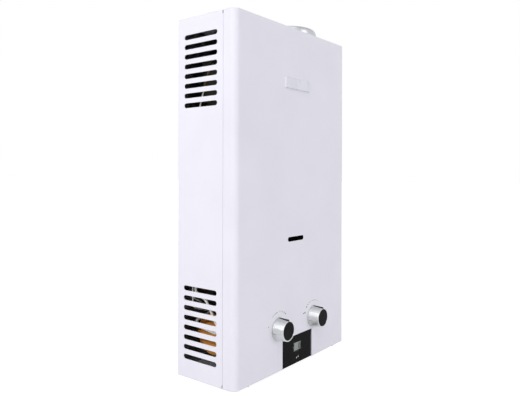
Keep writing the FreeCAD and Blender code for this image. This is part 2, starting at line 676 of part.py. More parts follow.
def chamber_coil():
    """Pipe wound round the chamber: it cools the wall and warms the water first."""
    x, back, front = chamber_x + coil_gap, chamber_back + coil_gap, chamber_front - coil_gap
    step = (coil_top - coil_low - 30) / coil_turns
    points = [(coil_start_x, back, chamber_z), (coil_start_x, back, coil_low)]
    for turn in range(coil_turns):
        z = coil_low + turn * step
        points += [(x, back, z), (x, front, z + step * 0.15),
                   (-x, front, z + step * 0.5), (-x, back, z + step * 0.65)]
        if turn < coil_turns - 1:
            points.append((coil_start_x, back, z + step))
    points += [(-x, back, coil_top - 14), (-side_run_x, tube_rows()[0], coil_top + 14),
               (-side_run_x, tube_rows()[0], union_z)]
    return pipe(points, chamber_corner_r + coil_gap)


def exchanger_tubes():
    """One pipe that runs to and fro through the fins."""
    rows = tube_rows()
    bend = abs(rows[1] - rows[0]) / 2
    turn_x = chamber_x + pipe_r + bend
    points = [(-side_run_x, rows[0], union_z), (-side_run_x, rows[0], tube_z)]
    for k, y in enumerate(rows[:-1]):
        x = turn_x if k % 2 == 0 else -turn_x
        points += [(x, y, tube_z), (x, rows[k + 1], tube_z)]
    points += [(side_run_x, rows[-1], tube_z), (side_run_x, rows[-1], union_z)]
    return pipe(points, bend - 0.1)


def cold_feed_pipe():
    """From the water valve back and up to the coil."""
    back = chamber_back + coil_gap
    turn_z = axis_z + 46
    return pipe([(coil_start_x, axis_y, axis_z + 28), (coil_start_x, axis_y, turn_z),
                 (coil_start_x, back, turn_z), (coil_start_x, back, chamber_z)], 14.0)


def hot_pipe():
    """From the exchanger down the right side to the hot outlet."""
    y = tube_rows()[-1]
    return pipe([(side_run_x, y, union_z), (side_run_x, y, chamber_z - 70),
                 (hot_x, axis_y, chamber_z - 95), (hot_x, axis_y, hot_pipe_low)], 20.0)


# ---------------------------------------------------------------- burner

tray_x = chamber_x - tray_side
tray_front, tray_back = chamber_front + tray_end, chamber_back - tray_end
manifold_y = tray_front - 10.0
manifold_z = burner_z + manifold_z_up
blade_low = burner_z + 8.0
ear_w = 9.0


def blade_places():
    pitch = (2 * tray_x - 2 * blade_flame_w) / (blade_count - 1)
    return [-tray_x + blade_flame_w + pitch * k for k in range(blade_count)]


def burner_tray():
    """Open tray with ledges for the blades, a top flange under the chamber and two feet to the back."""
    low, high = burner_z + 2, chamber_z
    room = box(-tray_x + tray_t, tray_x - tray_t, tray_front + tray_t, tray_back - tray_t,
               low - past, high + past)
    walls = box(-tray_x, tray_x, tray_front, tray_back, low, high).cut(room)
    flange = box(-chamber_x, chamber_x, chamber_front, chamber_back, high - tray_t, high).cut(room)
    ledges = [box(-tray_x, tray_x, y, y + ledge_w, blade_low - ledge_t, blade_low)
              for y in (tray_front, tray_back - ledge_w)]
    feet = []
    for side in (-1, 1):
        feet += bracket_foot(side * (tray_x - foot_w / 2), tray_back - tray_t, low, 18)
    holes = [bored(x, tray_front, manifold_z, Y, tray_t, jet_r + 1.5) for x in blade_places()]
    return joined(walls, flange, *ledges, *feet).cut(holes)


def burner_blades():
    """Twelve flat burners: a throat for gas and air, a narrow body and a slotted flame head."""
    y0, y1, head_z = tray_front + blade_in, tray_back - blade_in, chamber_z - blade_flame_h
    body = box(-blade_w / 2, blade_w / 2, y0, y1, blade_low, head_z)
    head = box(-blade_flame_w / 2, blade_flame_w / 2, y0, y1, head_z, chamber_z - clear)
    throat = bar(0, y0 - past, manifold_z, Y, throat_deep + past, throat_r)
    pitch = (y1 - y0) / (flame_slits + 1)
    half_len = blade_flame_w / 2 - 1.5
    slits = [box(-half_len, half_len, y - slit_w / 2, y + slit_w / 2, chamber_z - slit_deep, chamber_z + past)
             for y in (y0 + pitch * (k + 1) for k in range(flame_slits))]
    blade = joined(body, head).cut([throat] + slits)
    blades = []
    for x in blade_places():
        copy = blade.copy()
        copy.translate(X * x)
        blades.append(copy)
    return group(blades)


def gas_manifold():
    """Closed tube in front of the tray with a jet hole for each blade and a stub for the gas."""
    x0, x1 = -tray_x + 2, tray_x - 2
    low, high = manifold_z - manifold_r, manifold_z + manifold_r
    tube = bar(x0, manifold_y, manifold_z, X, x1 - x0, manifold_r)
    stub = bar(solenoid_x, manifold_y, burner_z, Z, manifold_z - burner_z, stub_r)
    ears, pads = [], []
    for x in ear_places():
        ears.append(box(x - ear_w / 2, x + ear_w / 2, manifold_y, tray_front, low, low + 2))
        pads.append(box(x - ear_w / 2, x + ear_w / 2, tray_front - foot_t, tray_front, low, high))
    bore = [bar(x0 + manifold_t, manifold_y, manifold_z, X, x1 - x0 - 2 * manifold_t,
                manifold_r - manifold_t),
            bar(solenoid_x, manifold_y, burner_z - past, Z, manifold_z - burner_z + past, stub_r - 1.5)]
    jets = [bar(x, manifold_y, manifold_z, Y, manifold_r + past, jet_thread_r + jet_room)
            for x in blade_places()]
    return joined(tube, stub, *ears, *pads).cut(bore + jets)


def ear_places():
    """Fixing ears midway between blades."""
    places = blade_places()
    return [(places[k] + places[k + 1]) / 2 for k in (1, blade_count - 3)]


def gas_jets():
    """Brass jets in the manifold, one before each blade's throat."""
    length = tray_front + 2 - manifold_y
    seat = manifold_r + slip
    profile = [(0, 4), (jet_thread_r, 4), (jet_thread_r, seat), (jet_r, seat), (jet_r, length - 2),
               (1.2, length), (jet_bore_r, length), (jet_bore_r, length - 3), (0, length - 3)]
    return group(turned(profile, (x, manifold_y, manifold_z), Y) for x in blade_places())


def gas_feed_pipe():
    """From the gas valve's front outlet up to the manifold stub."""
    points = [(solenoid_x, axis_y - gas_front, feed_z), (solenoid_x, manifold_y, feed_z),
              (solenoid_x, manifold_y, burner_z)]
    return swept(points, gas_pipe_r, gas_pipe_bend).cut(
        swept(points, gas_pipe_r - gas_pipe_t, gas_pipe_bend))


# ---------------------------------------------------------------- water valve

def screw_ring():
    return [(axis_y + screw_circle_r * math.cos(a), axis_z + screw_circle_r * math.sin(a))
            for a in (math.radians(360 / valve_screws * k) for k in range(valve_screws))]


def diaphragm_cover():
    """Round brass cover, domed and hollow, facing the side of the case."""
    cover = turned([(0, dome_h + cover_flange_t), (0, 0), (dome_r - 2, 0), (dome_r, 2), (dome_r, dome_h),
                    (diaphragm_r, dome_h), (diaphragm_r, dome_h + cover_flange_t)],
                   (cover_x, axis_y, axis_z), X)
    hollow = bar(cover_x + dome_t, axis_y, axis_z, X, dome_h + cover_flange_t, dome_r - dome_t)
    holes = [bored(flange_x, y, z, X, cover_flange_t, cap_screw_r + slip) for y, z in screw_ring()]
    return cover.cut([hollow] + holes)


def diaphragm():
    """Rubber disc clamped between the cover and the valve body."""
    disc = bar(diaphragm_x, axis_y, axis_z, X, diaphragm_t, diaphragm_r)
    return disc.cut([bored(diaphragm_x, y, z, X, diaphragm_t, cap_screw_r + slip) for y, z in screw_ring()])


def diaphragm_screws():
    """Cap screws through cover, diaphragm and body flange."""
    length = cover_flange_t + diaphragm_t + body_flange_t - 2
    head_r, head_h = cap_screw_head_r, cap_screw_head_h
    profile = [(0, -head_h), (head_r - 0.3, -head_h), (head_r, clear - head_h), (head_r, 0),
               (cap_screw_r, 0), (cap_screw_r, length), (0, length)]
    return group(turned(profile, (flange_x, y, z), X).cut(
        hexagon(flange_x - head_h - past, y, z, X, 3, 2 + past)) for y, z in screw_ring())


def water_valve_body():
    """Brass body: flange for the diaphragm, ports below and above, boss for the flow spindle."""
    flange = bar(body_x, axis_y, axis_z, X, body_flange_t, diaphragm_r)
    barrel = bar(body_x, axis_y, axis_z, X, body_end_x - body_x, body_r)
    drop = axis_z - port_z(cold_x)
    inlet = bar(cold_x, axis_y, port_z(cold_x), Z, drop, inlet_r)
    outlet = bar(coil_start_x, axis_y, axis_z, Z, outlet_h, outlet_r)
    relief_low = axis_z - relief_boss_h
    relief_boss = bar(relief_x, axis_y, relief_low, Z, relief_boss_h, relief_boss_r)
    boss = bar(-knob_x, -boss_front, axis_z, Y, boss_front - axis_from_wall, boss_r)
    body = joined(flange, barrel, inlet, outlet, relief_boss, boss)
    cavity = bar(body_x - past, axis_y, axis_z, X, rod_travel + plate_t + 1 + past, plate_r + 3)
    rod_bore = bored(body_x, axis_y, axis_z, X, body_end_x - body_x, rod_r + run_fit)
    ports = [bar(cold_x, axis_y, port_z(cold_x) - past, Z, drop - 11 + past, port_bore_r),
             bar(coil_start_x, axis_y, axis_z + 8, Z, outlet_h - 6, pipe_r - pipe_wall),
             bar(relief_x, axis_y, relief_low - past, Z, relief_plug_h + 5 + past, relief_plug_r + slip)]
    holes = [bored(body_x, y, z, X, body_flange_t, cap_screw_r + slip) for y, z in screw_ring()]
    return body.cut([cavity, rod_bore, plug_bore(-knob_x)] + ports + holes)


def push_rod():
    """Diaphragm plate, rod to the gas valve and the ring that works the switch lever."""
    start = body_x + clear
    plate = bar(start, axis_y, axis_z, X, plate_t, plate_r)
    rod = bar(start, axis_y, axis_z, X, disc_x + disc_socket - start, rod_r)
    ring = bar(ring_x, axis_y, axis_z, X, ring_t, ring_r)
    return joined(plate, rod, ring)


# ---------------------------------------------------------------- gas valve

def gas_valve_body():
    """Die-cast block: rod bush, valve seat and chamber, gas inlet below, solenoid seat above."""
    y0, y1 = axis_y - gas_front, axis_y + gas_back
    z0, z1 = axis_z - gas_low, axis_z + gas_high
    block = box(gas_left_x, gas_right_x, y0, y1, z0, z1)
    block = block.makeFillet(4.0, [e for e in block.Edges if e.BoundBox.XLength > 20])
    boss = bar(knob_x, -boss_front, axis_z, Y, boss_front - axis_from_wall - 5, boss_r)
    inlet = bar(gas_x, axis_y, port_z(gas_x), Z, gas_neck_h + 2, inlet_r)
    body = joined(block, boss, inlet)
    cuts = [
        bar(gas_left_x - past, axis_y, axis_z, X, bush_len + past, rod_r + run_fit),
        bar(gas_left_x + bush_len - 2, axis_y, axis_z, X, seat_x - past - gas_left_x - bush_len + 4, port_r),
        bar(seat_x, axis_y, axis_z, X, gas_right_x - seat_x + past, chamber_bore_r),
        bar(solenoid_x, axis_y, axis_z, Z, solenoid_seat_z - axis_z, gas_port_r),
        bar(solenoid_x, axis_y, solenoid_seat_z, Z, solenoid_well + past, spigot_r),
        bar(solenoid_x, y0 - past, feed_z, Y, gas_front, gas_pipe_r - gas_pipe_t),
        bar(gas_x, axis_y, port_z(gas_x) - past, Z, gas_neck_h + gas_low - chamber_bore_r + 3, port_bore_r),
        plug_bore(knob_x),
    ]
    seat = bar(seat_x - 1, axis_y, axis_z, X, 3 - clear, port_r + seat_w).cut(
        bored(seat_x - 1, axis_y, axis_z, X, 3, port_r))
    return joined(body.cut(cuts), seat)


def gas_valve_disc():
    """Rubber-faced disc that the push rod lifts off the seat."""
    disc = bar(disc_x, axis_y, axis_z, X, disc_t, disc_r)
    stem = bar(disc_x, axis_y, axis_z, X, disc_t + stem_len, stem_r)
    return joined(disc, stem).cut(bar(disc_x - past, axis_y, axis_z, X, disc_socket + past, rod_r + slip))


def gas_end_cap():
    """Screwed cap that closes the chamber and holds the spring."""
    spigot = bar(gas_right_x - cap_spigot, axis_y, axis_z, X, cap_spigot, chamber_bore_r - slip)
    flange = hexagon(gas_right_x, axis_y, axis_z, X, cap_flats, end_cap_t)
    return joined(spigot, flange)


def return_spring():
    """Wire spring between the valve disc and the end cap."""
    start, end = disc_x + disc_t + clear, gas_right_x - cap_spigot - clear
    pitch = (end - start - 2 * spring_wire_r) / spring_turns
    helix = Part.makeHelix(pitch, pitch * spring_turns, spring_r)
    profile = Part.Wire(Part.makeCircle(spring_wire_r, V(spring_r, 0, 0), Y))
    spring = Part.Wire(helix).makePipeShell([profile], True, True)
    spring.Placement = FreeCAD.Placement(V(start + spring_wire_r, axis_y, axis_z), FreeCAD.Rotation(Z, X))
    return spring


def solenoid_coil():
    """Coil can that screws on top of the gas valve, with a tube for the plunger."""
    top = axis_z + gas_high
    across, deep = solenoid_r + 3, solenoid_r + 1
    can = bar(solenoid_x, axis_y, top + solenoid_flange_t, Z, solenoid_h - solenoid_flange_t, solenoid_r)
    flange = box(solenoid_x - across, solenoid_x + across, axis_y - deep, axis_y + deep,
                 top, top + solenoid_flange_t)
    spigot = bar(solenoid_x, axis_y, top - spigot_h, Z, spigot_h + past, spigot_r - slip)
    bore_end = solenoid_seat_z + clear + plunger_len + plunger_travel + 2 * clear
    bore_low = top - spigot_h - past
    bore = bar(solenoid_x, axis_y, bore_low, Z, bore_end - bore_low, plunger_r + run_fit)
    return joined(can, flange, spigot).cut(bore)


def solenoid_plunger():
    """Plunger with a rubber pad over the gas port; the coil lifts it."""
    pad = bar(solenoid_x, axis_y, solenoid_seat_z + clear, Z, plunger_pad_t, plunger_pad_r)
    stem = bar(solenoid_x, axis_y, solenoid_seat_z + clear, Z, plunger_len, plunger_r)
    return joined(pad, stem)


# ---------------------------------------------------------------- flow switch

lever_x = ring_x + ring_t + clear + lever_t / 2
pivot_z, shelf_z = axis_z + pivot_up, axis_z + shelf_up
lever_y0, lever_y1 = axis_y - lever_w / 2, axis_y + lever_w / 2


def switch_bracket():
    """Bridge between the two valves that carries the switch and the lever's pivot."""
    front, back, low = axis_y - bridge_w / 2, axis_y + bridge_w / 2, axis_z - bridge_low
    left = box(body_end_x, body_end_x + bridge_t, front, back, low, shelf_z)
    right = box(gas_left_x - bridge_t, gas_left_x, front, back, low, shelf_z)
    shelf = box(body_end_x, gas_left_x, front, back, shelf_z, shelf_z + bridge_t)
    ears = [box(lever_x - 5, lever_x + 5, y, y + switch_ear_t, pivot_z - 4, shelf_z)
            for y in (lever_y0 - clear - switch_ear_t, lever_y1 + clear)]
    slot = box(lever_x - 5.5, lever_x + 4.5, lever_y0 - clear, lever_y1 + clear,
               shelf_z - past / 2, shelf_z + bridge_t + past)
    bores = [bored(body_end_x, axis_y, axis_z, X, gas_left_x - body_end_x, rod_r + 2),
             bored(lever_x, lever_y0 - 2, pivot_z, Y, lever_w + 4, pivot_r + run_fit)]
    return joined(left, right, shelf, *ears).cut([slot] + bores)


def switch_lever():
    """Balanced lever on its pivot pin: the rod's ring pushes its foot, its head presses the switch."""
    foot_z = axis_z + lever_foot_up
    blade = box(lever_x - lever_t / 2, lever_x + lever_t / 2, lever_y0, lever_y1,
                foot_z, 2 * pivot_z - foot_z)
    pin = bar(lever_x, lever_y0 - 2.5, pivot_z, Y, lever_w + 5, pivot_r)
    return joined(blade, pin)


def micro_switch():
    """Small snap switch with its button towards the lever and three tags at the back."""
    z, right, back = shelf_z + bridge_t, lever_x - 6, axis_y + switch_w / 2
    case = box(body_end_x + 1, right, axis_y - switch_w / 2, back, z, z + switch_h)
    button = box(right, right + button_out, axis_y - 1.5, axis_y + 1.5, z + 3, z + 6)
    tags = [box(x - 1.5, x + 1.5, back, back + tag_len, z + 4, z + 4 + tag_t)
            for x in (body_end_x + 5, body_end_x + 10)]
    return joined(case, button, *tags)


# ---------------------------------------------------------------- connections

def port_z(x):
    """Height at which a valve's port meets its fitting's washer."""
    return axis_z - water_port_drop if x == cold_x else axis_z - gas_low - gas_neck_h


def fitting(x, seat_top):
    """Threaded connection: hexagon above the bottom plate, male thread below it."""
    thread = bar(x, axis_y, -thread_drop, Z, thread_drop - groove_drop, thread_r)
    groove = bar(x, axis_y, -groove_drop, Z, groove_drop + sheet, groove_r)
    flange = bar(x, axis_y, sheet, Z, collar_nut_h, collar_nut_r)
    hexed = hexagon(x, axis_y, sheet + collar_nut_h, Z, flats, flats_h)
    neck = bar(x, axis_y, sheet, Z, seat_top - sheet, union_r)
    bore = bored(x, axis_y, -thread_drop, Z, thread_drop + seat_top, port_bore_r)
    return joined(thread, groove, flange, hexed, neck).cut(bore)


def hot_outlet_fitting():
    """As the others, with a socket that takes the hot pipe's end."""
    top = sheet + collar_nut_h + flats_h
    socket = bar(hot_x, axis_y, top, Z, hot_pipe_low + socket_deep - top, pipe_r + socket_wall)
    room = bar(hot_x, axis_y, hot_pipe_low, Z, socket_deep + past, pipe_r + slip)
    way = bar(hot_x, axis_y, top / 2, Z, hot_pipe_low, pipe_r - pipe_wall)
    return joined(fitting(hot_x, top + 4), socket).cut([room, way])


def washer(x, top):
    return bar(x, axis_y, top - washer_t, Z, washer_t, union_r).cut(
        bored(x, axis_y, top - washer_t, Z, washer_t, port_bore_r))


def relief_valve():
    """Drain and pressure relief: a brass stem from the water valve down through the case."""
    top = axis_z - relief_boss_h
    stem = bar(relief_x, axis_y, -relief_drop, Z, top + relief_drop, relief_r)
    plug = bar(relief_x, axis_y, top, Z, relief_plug_h, relief_plug_r)
    flange = bar(relief_x, axis_y, sheet, Z, relief_flange_t, relief_r + relief_flange_t)
    seat = bar(relief_x, axis_y, -relief_drop - past, Z, drain_seat_deep + past, drain_seat_r)
    return joined(stem, plug, flange).cut(seat)


def relief_cap():
    """Ribbed cap turned by hand to drain the heater."""
    z0 = -relief_drop - relief_cap_h + relief_cap_over
    floor = 3.0
    cap = bar(relief_x, axis_y, z0, Z, relief_cap_h, relief_cap_r)
    room = bar(relief_x, axis_y, z0 + floor, Z, relief_cap_h, relief_r + run_fit)
    turns = (2 * math.pi * k / cap_ribs for k in range(cap_ribs))
    ribs = [bar(relief_x + relief_cap_r * math.cos(a), axis_y + relief_cap_r * math.sin(a), z0, Z,
                relief_cap_h, cap_rib_r) for a in turns]
    nose = bar(relief_x, axis_y, z0 + floor / 2, Z, drain_seat_deep - 0.5, drain_seat_r - run_fit)
    return joined(joined(cap, *ribs).cut(room), nose)


# ---------------------------------------------------------------- battery box

def hinge_lugs():
    near, far = lug_in, lug_in + lug_w
    return [(battery_x0 + near, battery_x0 + far), (battery_x1 - far, battery_x1 - near)]


def battery_box():
    """Plastic box for two D cells, open below, with hinge lugs for its door."""
    z1 = sheet + cell_bay_h + battery_wall
    outer = box(battery_x0, battery_x1, battery_y0, battery_y1, sheet, z1)
    inner = box(battery_x0 + battery_wall, battery_x1 - battery_wall, battery_y0 + battery_wall,
                battery_y1 - battery_wall, sheet - past, z1 - battery_wall)
    rim = box(battery_x0, battery_x1, battery_y1 - 1, hinge_y + hinge_r + 1, sheet, sheet + lug_plate_t)
    lugs = []
    for x0, x1 in hinge_lugs():
        lugs.append(bar(x0, hinge_y, hinge_z, X, x1 - x0, hinge_r))
        lugs.append(box(x0, x1, hinge_y - hinge_r, hinge_y + hinge_r, hinge_z, sheet))
    bore = bar(battery_x0, hinge_y, hinge_z, X, battery_x1 - battery_x0, pin_r)
    return joined(outer.cut(inner), rim, *lugs).cut(bore)


def battery_door():
    """Door under the box: plate, hinge knuckle, finger grip and a catch that enters the box."""
    x0, x1 = battery_x0 + 1, battery_x1 - 1
    door_front = battery_y0 - battery_wall
    plate = box(x0, x1, door_front, battery_y1, -clear - door_t, -clear)
    left, right = hinge_lugs()[0][1] + clear, hinge_lugs()[1][0] - clear
    knuckle = bar(left, hinge_y, hinge_z, X, right - left, hinge_r)
    arm = box(left, right, battery_y1 - 1, hinge_y, -clear - door_t, -clear - 0.7)
    middle = (battery_x0 + battery_x1) / 2
    catch_y = battery_y0 + battery_wall + catch_room
    catch = box(middle - catch_w / 2, middle + catch_w / 2, catch_y, catch_y + catch_t, -clear, catch_h)
    grip = box(middle - grip_w / 2, middle + grip_w / 2, door_front - grip_out, door_front,
               -clear - door_t, -clear - 0.8)
    bore = bored(left, hinge_y, hinge_z, X, right - left, pin_r + run_fit)
    return joined(plate, knuckle, arm, catch, grip).cut(bore)


def battery_door_pin():
    """Steel pin fixed in the lugs."""
    return bar(hinge_lugs()[0][0], hinge_y, hinge_z, X, hinge_lugs()[1][1] - hinge_lugs()[0][0], pin_r)


def battery_contacts():
    """Strip that links the two cells, one button and one conical spring pad, at the top of the box."""
    top = sheet + cell_bay_h
    x = (battery_x0 + battery_x1) / 2
    y_front = battery_y0 + battery_wall + cell_room / 2 + cell_r
    y_back = y_front + 2 * cell_r
    strip = box(x - strip_w / 2, x + strip_w / 2, y_front - cone_r, y_back + cone_r, top - strip_t, top)
    button = bar(x, y_front, top - contact_h / 2, Z, contact_h / 2 - past / 2, strip_w / 2)
    cone = Part.makeCone(cone_r, strip_w / 2, cone_h, V(x, y_back, top - strip_t - cone_h + slip), Z)
    return joined(strip, button, cone)


# ---------------------------------------------------------------- electrics

spark_x0 = -wall_x + spark_box_side
spark_x1 = spark_x0 + spark_box[0]
spark_y0, spark_y1 = -2 * sheet - spark_box[1], -2 * sheet
spark_z1 = spark_box_z + spark_box[2]


def ignition_box():
    """Sealed spark generator on the back plate, with sockets in front and below."""
    body = box(spark_x0, spark_x1, spark_y0, spark_y1, spark_box_z, spark_z1)
    front_edges = [e for e in body.Edges if e.BoundBox.ZLength > 10 and e.BoundBox.YMax < spark_y1 - 1]
    body = body.makeFillet(2.0, front_edges)
    sockets = [bar(x, spark_y0 - spark_socket_h, z, Y, spark_socket_h + 2, spark_socket_r)
               for x, z in spark_sockets()]
    plug = box(spark_x0 + 5, spark_x1 - 5, spark_y0 + 8, spark_y1 - 8,
               spark_box_z - spark_plug_h, spark_box_z + 2)
    return joined(body, plug, *sockets)


def spark_sockets():
    return [(spark_x0 + 9, spark_z1 - 26), (spark_x0 + 21, spark_z1 - 14)]


def electrode_tail():
    """Where an electrode's ceramic ends, beside the chamber."""
    return -chamber_x - electrode_out


def spark_electrodes():
    """Two ceramic rods through the chamber wall, wire tips over the flames."""
    solids = []
    for y in electrode_y:
        ceramic = bar(electrode_tail(), y, electrode_z, X, electrode_len, electrode_r)
        flange = bar(-chamber_x - 3, y, electrode_z, X, 3, electrode_r + 2.5)
        tip = bar(electrode_tail() + electrode_len - 2, y, electrode_z, X, 22, wire_tip_r)
        solids.append(joined(ceramic, flange, tip))
    return group(solids)


def ignition_leads():
    """White high-tension leads from the spark box to the electrodes."""
    tail = electrode_tail()
    leads = []
    for (x, z), y in zip(spark_sockets(), electrode_y):
        start_y = spark_y0 - spark_socket_h
        out_x = tail - 9
        points = [(x, start_y, z), (x, start_y - 7, z),
                  (out_x, (start_y + y) / 2 - 4, (z + electrode_z) / 2 - 4),
                  (out_x, y, electrode_z), (tail, y, electrode_z)]
        leads.append(swept(points, ht_lead_r, 5.0))
    return group(leads)


hood_switch_y, hood_switch_z = -53.0, chamber_top + 53.0


def overheat_switch():
    """Disc thermostat on the hood's left wall."""
    x = -chamber_x - clear - hood_wall
    y, z = hood_switch_y, hood_switch_z
    plate = box(x - 1.2, x, y - 14, y + 14, z - 8, z + 8)
    can = bar(x - 8, y, z, X, 7, 7.5)
    tags = [box(x - 12, x - 8, y + side - tag_t / 2, y + side + tag_t / 2, z - 2, z + 2)
            for side in (-4, 4)]
    return joined(plate, can, *tags)


def wiring_loom():
    """Control leads: to the flow switch, solenoid, batteries and overheat switch."""
    z0 = spark_box_z - spark_plug_h
    mid_x = (spark_x0 + spark_x1) / 2
    side_x = cover_x - 6.5
    tag_z = shelf_z + bridge_t + 4 + tag_t / 2
    hood_x = -chamber_x - clear - hood_wall
    sleeve = [(mid_x - 6, -28, z0), (mid_x - 6, -28, z0 - 9), (side_x, -56, z0 - 18), (side_x, -67, z0 - 34),
              (side_x, -77, z0 - 50), (side_x, -85, z0 - 60), (side_x, -79, z0 - 68), (side_x, -58, z0 - 65),
              (side_x, -36, z0 - 62), (side_x + 12, -24, z0 - 58), (cold_x, -20, z0 - 50),
              (coil_start_x, -20, z0 - 46), (body_end_x + 7.5, -22, z0 - 43),
              (body_end_x + 7.5, axis_y + 16, tag_z)]
    solenoid_z = axis_z + gas_high + 17
    solenoid = [(solenoid_x, axis_y + solenoid_r, solenoid_z), (solenoid_x, -26, solenoid_z), (-20, -12, 102),
                (cold_x, -12, 101), (mid_x + 2, -13, 126), (mid_x + 2, -13, z0)]
    battery_z = sheet + cell_bay_h + battery_wall
    battery_x = (battery_x0 + battery_x1) / 2
    battery = [(battery_x, -50, battery_z), (battery_x, -50, battery_z + 12), (battery_x - 26, -9, 91),
               (knob_x, -9, 91), (coil_start_x - 20, -9, 90), (mid_x - 4, -19, 112),
               (mid_x - 4, -19, z0)]
    overheat = [(mid_x - 5, -14, spark_z1), (mid_x - 5, -14, spark_z1 + 12), (side_x, -14, spark_z1 + 30),
                (side_x, -22, spark_z1 + 140), (side_x, -38, chamber_top - 30),
                (side_x + 3, -50, chamber_top + 18),
                (side_x + 10, -53, chamber_top + 44), (hood_x - 12, hood_switch_y, hood_switch_z)]
    return group([swept(sleeve, sleeve_r, 9.0), swept(solenoid, lead_r, 12.0),
                  swept(battery, lead_r, 12.0), swept(overheat, lead_r, 20.0)])


# ---------------------------------------------------------------- all pieces

def build():
    os.makedirs("parts", exist_ok=True)
    right_panel = side_panel()
    pieces = {
        "back_plate": back_plate(),
        "left_side_panel": right_panel.mirror(V(0, 0, 0), X),
        "right_side_panel": right_panel,
        "top_plate": top_plate(),
        "bottom_plate": bottom_plate(),
        "front_cover": front_cover(),
        "case_screws": case_screws(),
        "name_badge": name_badge(),
        "window_pane": window_pane(),
        "display_panel": display_panel(),
        "display_window": display_window(),
        "display_board": display_board(),
        "water_knob_barrel": knob_barrel(-knob_x),
        "water_knob_core": knob_core(-knob_x),
        "water_spindle": spindle(-knob_x),
        "gas_knob_barrel": knob_barrel(knob_x),
        "gas_knob_core": knob_core(knob_x),
        "gas_spindle": spindle(knob_x),
        "flue_collar": flue_collar(),
        "draft_hood": draft_hood(),
        "combustion_chamber": combustion_chamber(),
        "exchanger_fins": exchanger_fins(),
        "exchanger_tubes": exchanger_tubes(),
        "chamber_coil": chamber_coil(),
        "cold_feed_pipe": cold_feed_pipe(),
        "hot_pipe": hot_pipe(),
        "burner_tray": burner_tray(),
        "burner_blades": burner_blades(),
        "gas_manifold": gas_manifold(),
        "gas_jets": gas_jets(),
        "gas_feed_pipe": gas_feed_pipe(),
        "diaphragm_cover": diaphragm_cover(),
        "diaphragm": diaphragm(),
        "diaphragm_screws": diaphragm_screws(),
        "water_valve_body": water_valve_body(),
        "push_rod": push_rod(),
        "gas_valve_body": gas_valve_body(),
        "gas_valve_disc": gas_valve_disc(),
        "gas_end_cap": gas_end_cap(),
        "return_spring": return_spring(),
        "solenoid_coil": solenoid_coil(),
        "solenoid_plunger": solenoid_plunger(),
        "switch_bracket": switch_bracket(),
        "switch_lever": switch_lever(),
        "micro_switch": micro_switch(),
        "cold_inlet_fitting": fitting(cold_x, port_z(cold_x) - washer_t),
        "gas_inlet_fitting": fitting(gas_x, port_z(gas_x) - washer_t),
        "hot_outlet_fitting": hot_outlet_fitting(),
        "sealing_washers": group([washer(cold_x, port_z(cold_x)), washer(gas_x, port_z(gas_x))]),
        "relief_valve": relief_valve(),
        "relief_cap": relief_cap(),
        "battery_box": battery_box(),
        "battery_door": battery_door(),
        "battery_door_pin": battery_door_pin(),
        "battery_contacts": battery_contacts(),
        "ignition_box": ignition_box(),
        "spark_electrodes": spark_electrodes(),
        "ignition_leads": ignition_leads(),
        "overheat_switch": overheat_switch(),
        "wiring_loom": wiring_loom(),
    }
    for name, shape in pieces.items():
        save(name, shape)
    print(len(pieces), "nodes")


build()
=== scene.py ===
# %% [markdown]
# # A wall-hung gas water heater
#
# The heater is a steel box with a burner, a copper heat exchanger and two valves inside. Its
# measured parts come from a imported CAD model, which is loaded first and never moved. This
# lesson gives every part its finish. It also models again the parts that the eye meets first,
# with softer edges and finer detail: the pan-shaped cover, the vented sides, the flue collar,
# the knobs, the display, the badge and the connections. Lengths are written in millimetres and
# turned to metres by `MM`.

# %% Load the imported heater
import json
import math

import bpy
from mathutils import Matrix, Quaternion, Vector


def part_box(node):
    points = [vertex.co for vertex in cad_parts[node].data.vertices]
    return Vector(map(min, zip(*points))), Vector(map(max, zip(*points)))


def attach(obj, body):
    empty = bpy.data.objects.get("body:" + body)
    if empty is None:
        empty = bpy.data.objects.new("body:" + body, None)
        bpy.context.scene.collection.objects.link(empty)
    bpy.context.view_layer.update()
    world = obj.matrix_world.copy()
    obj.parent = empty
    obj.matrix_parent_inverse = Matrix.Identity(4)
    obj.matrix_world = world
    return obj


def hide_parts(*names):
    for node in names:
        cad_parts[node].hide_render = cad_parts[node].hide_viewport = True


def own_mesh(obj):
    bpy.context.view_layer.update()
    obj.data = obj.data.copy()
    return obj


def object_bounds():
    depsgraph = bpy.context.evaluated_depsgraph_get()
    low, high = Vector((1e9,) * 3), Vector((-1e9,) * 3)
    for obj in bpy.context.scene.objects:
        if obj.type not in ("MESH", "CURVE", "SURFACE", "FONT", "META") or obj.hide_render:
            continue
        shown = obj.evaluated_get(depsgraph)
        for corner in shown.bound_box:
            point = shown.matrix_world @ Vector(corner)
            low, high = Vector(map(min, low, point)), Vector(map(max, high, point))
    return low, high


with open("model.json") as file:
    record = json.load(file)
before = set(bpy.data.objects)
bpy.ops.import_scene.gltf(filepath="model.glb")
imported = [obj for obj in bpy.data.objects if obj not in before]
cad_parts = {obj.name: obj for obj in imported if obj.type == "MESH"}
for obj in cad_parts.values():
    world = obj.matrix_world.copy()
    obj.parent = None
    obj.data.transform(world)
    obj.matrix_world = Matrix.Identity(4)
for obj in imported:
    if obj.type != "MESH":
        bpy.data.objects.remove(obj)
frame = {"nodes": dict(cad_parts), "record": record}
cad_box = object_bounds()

MM = 0.001
print("CAD box in mm:", [[round(c / MM, 1) for c in corner] for corner in cad_box])

# %% [markdown]
# ## The camera
#
# The heater is seen from its left, level with the middle of the case. The camera could be aimed
# with a constraint, but a heading, a tilt and a roll written down give the same view each run.
# The lens is a little longer than normal. A small downward shift of the film frames the case
# and keeps its upright edges parallel.

